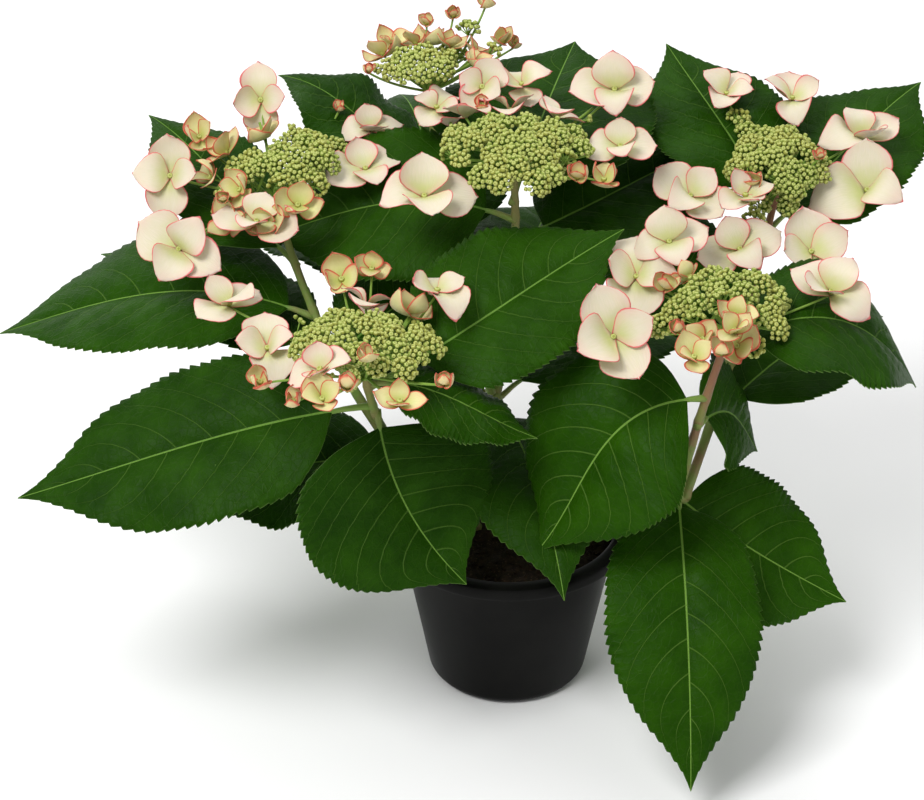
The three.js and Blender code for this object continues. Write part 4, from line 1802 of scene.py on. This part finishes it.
@dataclass
class Compost:
    """The compost's crumbly surface, with bark chips on it.

    Crumbs are waves, each a rate per metre and a height in millimetres.
    """

    chips: int = 260
    seed: int = 41
    insets: int = 18
    depth: float = 60 * MM
    crown: float = 4 * MM
    crumbs: tuple[tuple[float, float], ...] = ((60.0, 1.6), (150.0, 1.1), (380.0, 0.7))

    def build(self, finish: bpy.types.Material, chip: bpy.types.Material) -> Piece:
        """Builds the compost as a lumpy plug in place of its CAD solid.

        Args:
            finish: the compost's material.
            chip: the bark chips' material.

        Returns:
            The compost.
        """
        low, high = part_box("compost")
        radius = (high.x - low.x) / 2
        bpy.ops.object.select_all(action="DESELECT")
        bpy.ops.mesh.primitive_circle_add(vertices=96, radius=radius - 0.4 * MM, fill_type="NGON",
                                          location=(0, 0, high.z - 5 * MM))
        compost = bpy.context.object
        compost.name = "compost_plug"
        bpy.ops.object.transform_apply(location=True, rotation=True, scale=True)
        bpy.ops.object.mode_set(mode="EDIT")
        bpy.ops.mesh.select_all(action="SELECT")
        for _ in range(self.insets):
            bpy.ops.mesh.inset(thickness=(radius - 1 * MM) / (self.insets + 1.5))
        bpy.ops.mesh.select_all(action="DESELECT")
        bpy.ops.mesh.select_non_manifold()
        bpy.ops.mesh.extrude_region_move(TRANSFORM_OT_translate={"value": (0, 0, -self.depth)})
        bpy.ops.transform.resize(value=(0.78, 0.78, 1.0))
        bpy.ops.mesh.edge_face_add()
        bpy.ops.object.mode_set(mode="OBJECT")
        dice = np.random.default_rng(self.seed)
        self.crumble(compost, dice, radius, high.z - 6 * MM)
        self.scatter(compost, dice, radius)
        bpy.ops.object.shade_smooth()
        compost.data.materials.clear()
        compost.data.materials.append(finish)
        compost.data.materials.append(chip)
        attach(compost, "root")
        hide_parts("compost")
        return compost

    def crumble(self, compost: Piece, dice: np.random.Generator, radius: float, above: float) -> None:
        """Lifts the surface into a low crown with crumbs and hollows.

        Args:
            compost: the plug.
            dice: the seeded source of its crumbs.
            radius: the plug's radius at its surface.
            above: the level that the surface lies over.
        """
        count = len(compost.data.vertices)
        points = np.zeros(count * 3)
        compost.data.vertices.foreach_get("co", points)
        points = points.reshape(-1, 3)
        reach = np.linalg.norm(points[:, :2], axis=1) / radius
        height = self.crown * (1 - reach**2)
        for rate, depth in self.crumbs:
            phase = dice.uniform(0, 6.3, 4)
            x, y = points[:, 0] * rate, points[:, 1] * rate
            waves = np.sin(x + phase[0]) * np.sin(y + phase[1]) + 0.6 * np.sin((x + y) * 1.3 + phase[2])
            height += depth * MM * waves
        height += dice.uniform(-0.5, 0.5, count) * MM
        points[:, 2] += height * (1 - smooth(0.9, 1.0, reach)) * (points[:, 2] > above)
        compost.data.vertices.foreach_set("co", points.ravel())

    def scatter(self, compost: Piece, dice: np.random.Generator, radius: float) -> None:
        """Lays small chips of bark over the surface and joins them to the plug.

        Args:
            compost: the plug.
            dice: the seeded source of their places.
            radius: the plug's radius at its surface.
        """
        tree = BVHTree.FromObject(compost, bpy.context.evaluated_depsgraph_get())
        basket = Basket()
        for _ in range(self.chips):
            reach = radius * 0.94 * math.sqrt(dice.random())
            turn = dice.uniform(0, 2 * math.pi)
            above = Vector((reach * math.cos(turn), reach * math.sin(turn), 0.2))
            hit = tree.ray_cast(above, Vector((0, 0, -1)))
            axis = unit(np.array([dice.normal(), dice.normal(), 0.3 * dice.normal()]))
            length = dice.uniform(1.5, 5.5) * MM
            seat = np.array(hit[0]) + 0.3 * MM * UP
            line = seat + np.linspace(-0.5, 0.5, 3)[:, None] * length * axis
            points, faces, _ = tube(line, np.array([0.4, 1.0, 0.5]) * dice.uniform(0.5, 1.2) * MM, 5)
            basket.add(points, faces, 1)
        chips = basket.piece("bark_chips", [], "compost")
        chips.parent = None
        only(compost)
        chips.select_set(True)
        bpy.ops.object.join()


def only(piece: Piece) -> None:
    """Selects one piece and nothing else.

    Args:
        piece: the piece.
    """
    bpy.ops.object.select_all(action="DESELECT")
    piece.select_set(True)
    bpy.context.view_layer.objects.active = piece


# ---- studio ----


@dataclass
class Studio:
    """A plain pale floor, soft lights and the camera."""

    eye: tuple[float, float, float] = (-0.0270, -1.2488, 0.9312)
    dip: float = math.radians(31)
    lens: float = 100.5
    sensor: float = 36.0
    floor_side: float = 40.0
    floor_colour: Colour = (0.94, 0.94, 0.94)
    sky: float = 0.44

    def floor(self) -> None:
        """Lays the floor."""
        bpy.ops.object.select_all(action="DESELECT")
        bpy.ops.mesh.primitive_plane_add(size=self.floor_side)
        floor = bpy.context.object
        floor.name = "studio_floor"
        floor.data.materials.append(Recipe("floor", self.floor_colour, 0.9, 0.1).material)

    def lamp(self, name: str, power: float, size: float, place: Sequence[float],
             aim: Sequence[float]) -> None:
        """Hangs one square soft light.

        Args:
            name: the light's name.
            power: its power in watts.
            size: its side.
            place: where it hangs.
            aim: the point it faces.
        """
        light = bpy.data.lights.new(name, "AREA")
        light.energy = power
        light.size = size
        lamp = bpy.data.objects.new(name, light)
        lamp.location = place
        lamp.rotation_euler = (Vector(aim) - Vector(place)).to_track_quat("-Z", "Y").to_euler()
        bpy.context.scene.collection.objects.link(lamp)

    def build(self) -> None:
        """Sets up floor, lights, background and camera."""
        self.floor()
        aim = (0, 0, 0.2)
        self.lamp("key", 36, 0.9, (-0.8, -1.0, 1.9), aim)
        self.lamp("fill", 6, 1.6, (1.6, -1.1, 1.0), aim)
        self.lamp("top", 13, 1.2, (0.3, 0.9, 1.9), aim)
        self.lamp("rear", 11, 1.6, (-0.9, 1.6, 1.0), aim)
        world = bpy.data.worlds.new("studio")
        world.use_nodes = True
        sky = world.node_tree.nodes["Background"]
        sky.inputs["Color"].default_value = (1.0, 1.0, 1.0, 1.0)
        sky.inputs["Strength"].default_value = self.sky
        bpy.context.scene.world = world
        bpy.context.scene.view_settings.view_transform = "Standard"
        camera = bpy.data.objects.new("camera", bpy.data.cameras.new("camera"))
        camera.location = self.eye
        camera.rotation_euler = (math.pi / 2 - self.dip, 0, 0)
        camera.data.lens = self.lens
        camera.data.sensor_width = self.sensor
        bpy.context.scene.collection.objects.link(camera)
        bpy.context.scene.camera = camera


# ---- the whole plant ----


# The leaves that take the brighter upper face, a lit copy of the finish that paints light onto them; every
# other leaf takes the darker one.
LIT_LEAVES = ("leaf_hanging", "leaf_over_pot", "leaf_front_right", "leaf_right_low", "leaf_left_long")

# Seeds of the first leaf and the first flower head, and how deep a stem reaches into the compost.
LEAF_SEED = 100
HEAD_SEED = 300
ROOT_DEPTH = 9 * MM


class Hydrangea:
    """The plant and its pot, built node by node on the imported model."""

    def __init__(self) -> None:
        """Makes the finishes and reads the limbs."""
        palette = Palette()
        self.materials = {
            "leaf": palette.leaf.material(),
            "young_leaf": palette.young_leaf.material(),
            "leaf_under": palette.leaf_under.material(),
            "petiole": palette.petiole.material(),
            "sepal": palette.sepal.material(),
            "young_sepal": palette.young_sepal.material(),
            "ray": palette.ray.material(),
            "stem": palette.stem.material(),
            "shoot": palette.shoot.material(),
            "flushed_shoot": palette.flushed_shoot.material(),
            "cut_wood": palette.cut_wood.material(),
            "pot": palette.pot.material(),
            "compost": palette.compost.material(),
            **{f"bud_{index}": bud.material() for index, bud in enumerate(palette.buds)},
        }
        self.limbs = {name: Spine.of_limb(name) for name in limb_names()}
        tree = surface_of(limb_names())
        names = sorted(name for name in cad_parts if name.startswith("leaf_"))
        self.leaves = {name: Spine.of_leaf(name, tree) for name in names}

    def build_limbs(self) -> None:
        """Builds the stems and shoots, each shoot starting inside its stem's crown."""
        joints = [spine.line[0] for spine in self.leaves.values()]
        crowns = [spine.line[-1] for name, spine in self.limbs.items() if name.startswith("stem_")]
        for seed, (name, spine) in enumerate(self.limbs.items()):
            bark = Bark.of(name)
            start = spine.line[0] - ROOT_DEPTH * UP
            if bark is not Bark.STEM:
                start = min(crowns, key=lambda crown: float(np.linalg.norm(crown - spine.line[0])))
            line = np.vstack([start, spine.line])
            radii = np.concatenate([[spine.radii[0]], spine.radii])
            whole = Spine(line, spine.half_width, radii)
            slot = "woody_stem" if bark is Bark.STEM else "green_shoot"
            Limb(name, seed).build(whole, joints, self.materials[bark.value], slot)
            log.info("built %s", name)
        CutStub().build(self.limbs["stem_right"], self.materials["stem"], self.materials["cut_wood"])

    def build_leaves(self) -> None:
        """Builds every leaf."""
        for seed, (name, spine) in enumerate(self.leaves.items()):
            # Painted light: the listed leaves take the brighter, lit copy of the upper face.
            age = LeafLighting.YOUNG if name in LIT_LEAVES else LeafLighting.MATURE
            finishes = [self.materials[key] for key in (age.value, "leaf_under", "petiole")]
            Leaf(name, LEAF_SEED + seed).build(spine, finishes)
            log.info("built %s, %.0f mm wide", name, 2 * spine.half_width / MM)

    def build_heads(self) -> None:
        """Builds every flower head on the shoot of the same name."""
        names = sorted(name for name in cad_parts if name.startswith("head_"))
        for seed, name in enumerate(names):
            shoot = self.limbs[name.replace("head_", "shoot_")]
            Inflorescence(name, shoot.line[-1], HEAD_SEED + seed).build(self.materials)

    def build_pot(self) -> None:
        """Builds the pot and its compost."""
        Pot().build(self.materials["pot"])
        Compost().build(self.materials["compost"], self.materials["cut_wood"])
        log.info("built the pot and the compost")


def main() -> None:
    """Builds the plant, its pot and the studio."""
    logging.basicConfig(level=logging.INFO, format="%(message)s")
    plant = Hydrangea()
    plant.build_pot()
    plant.build_limbs()
    plant.build_leaves()
    plant.build_heads()
    Studio().build()


if __name__ == "__main__":
    main()
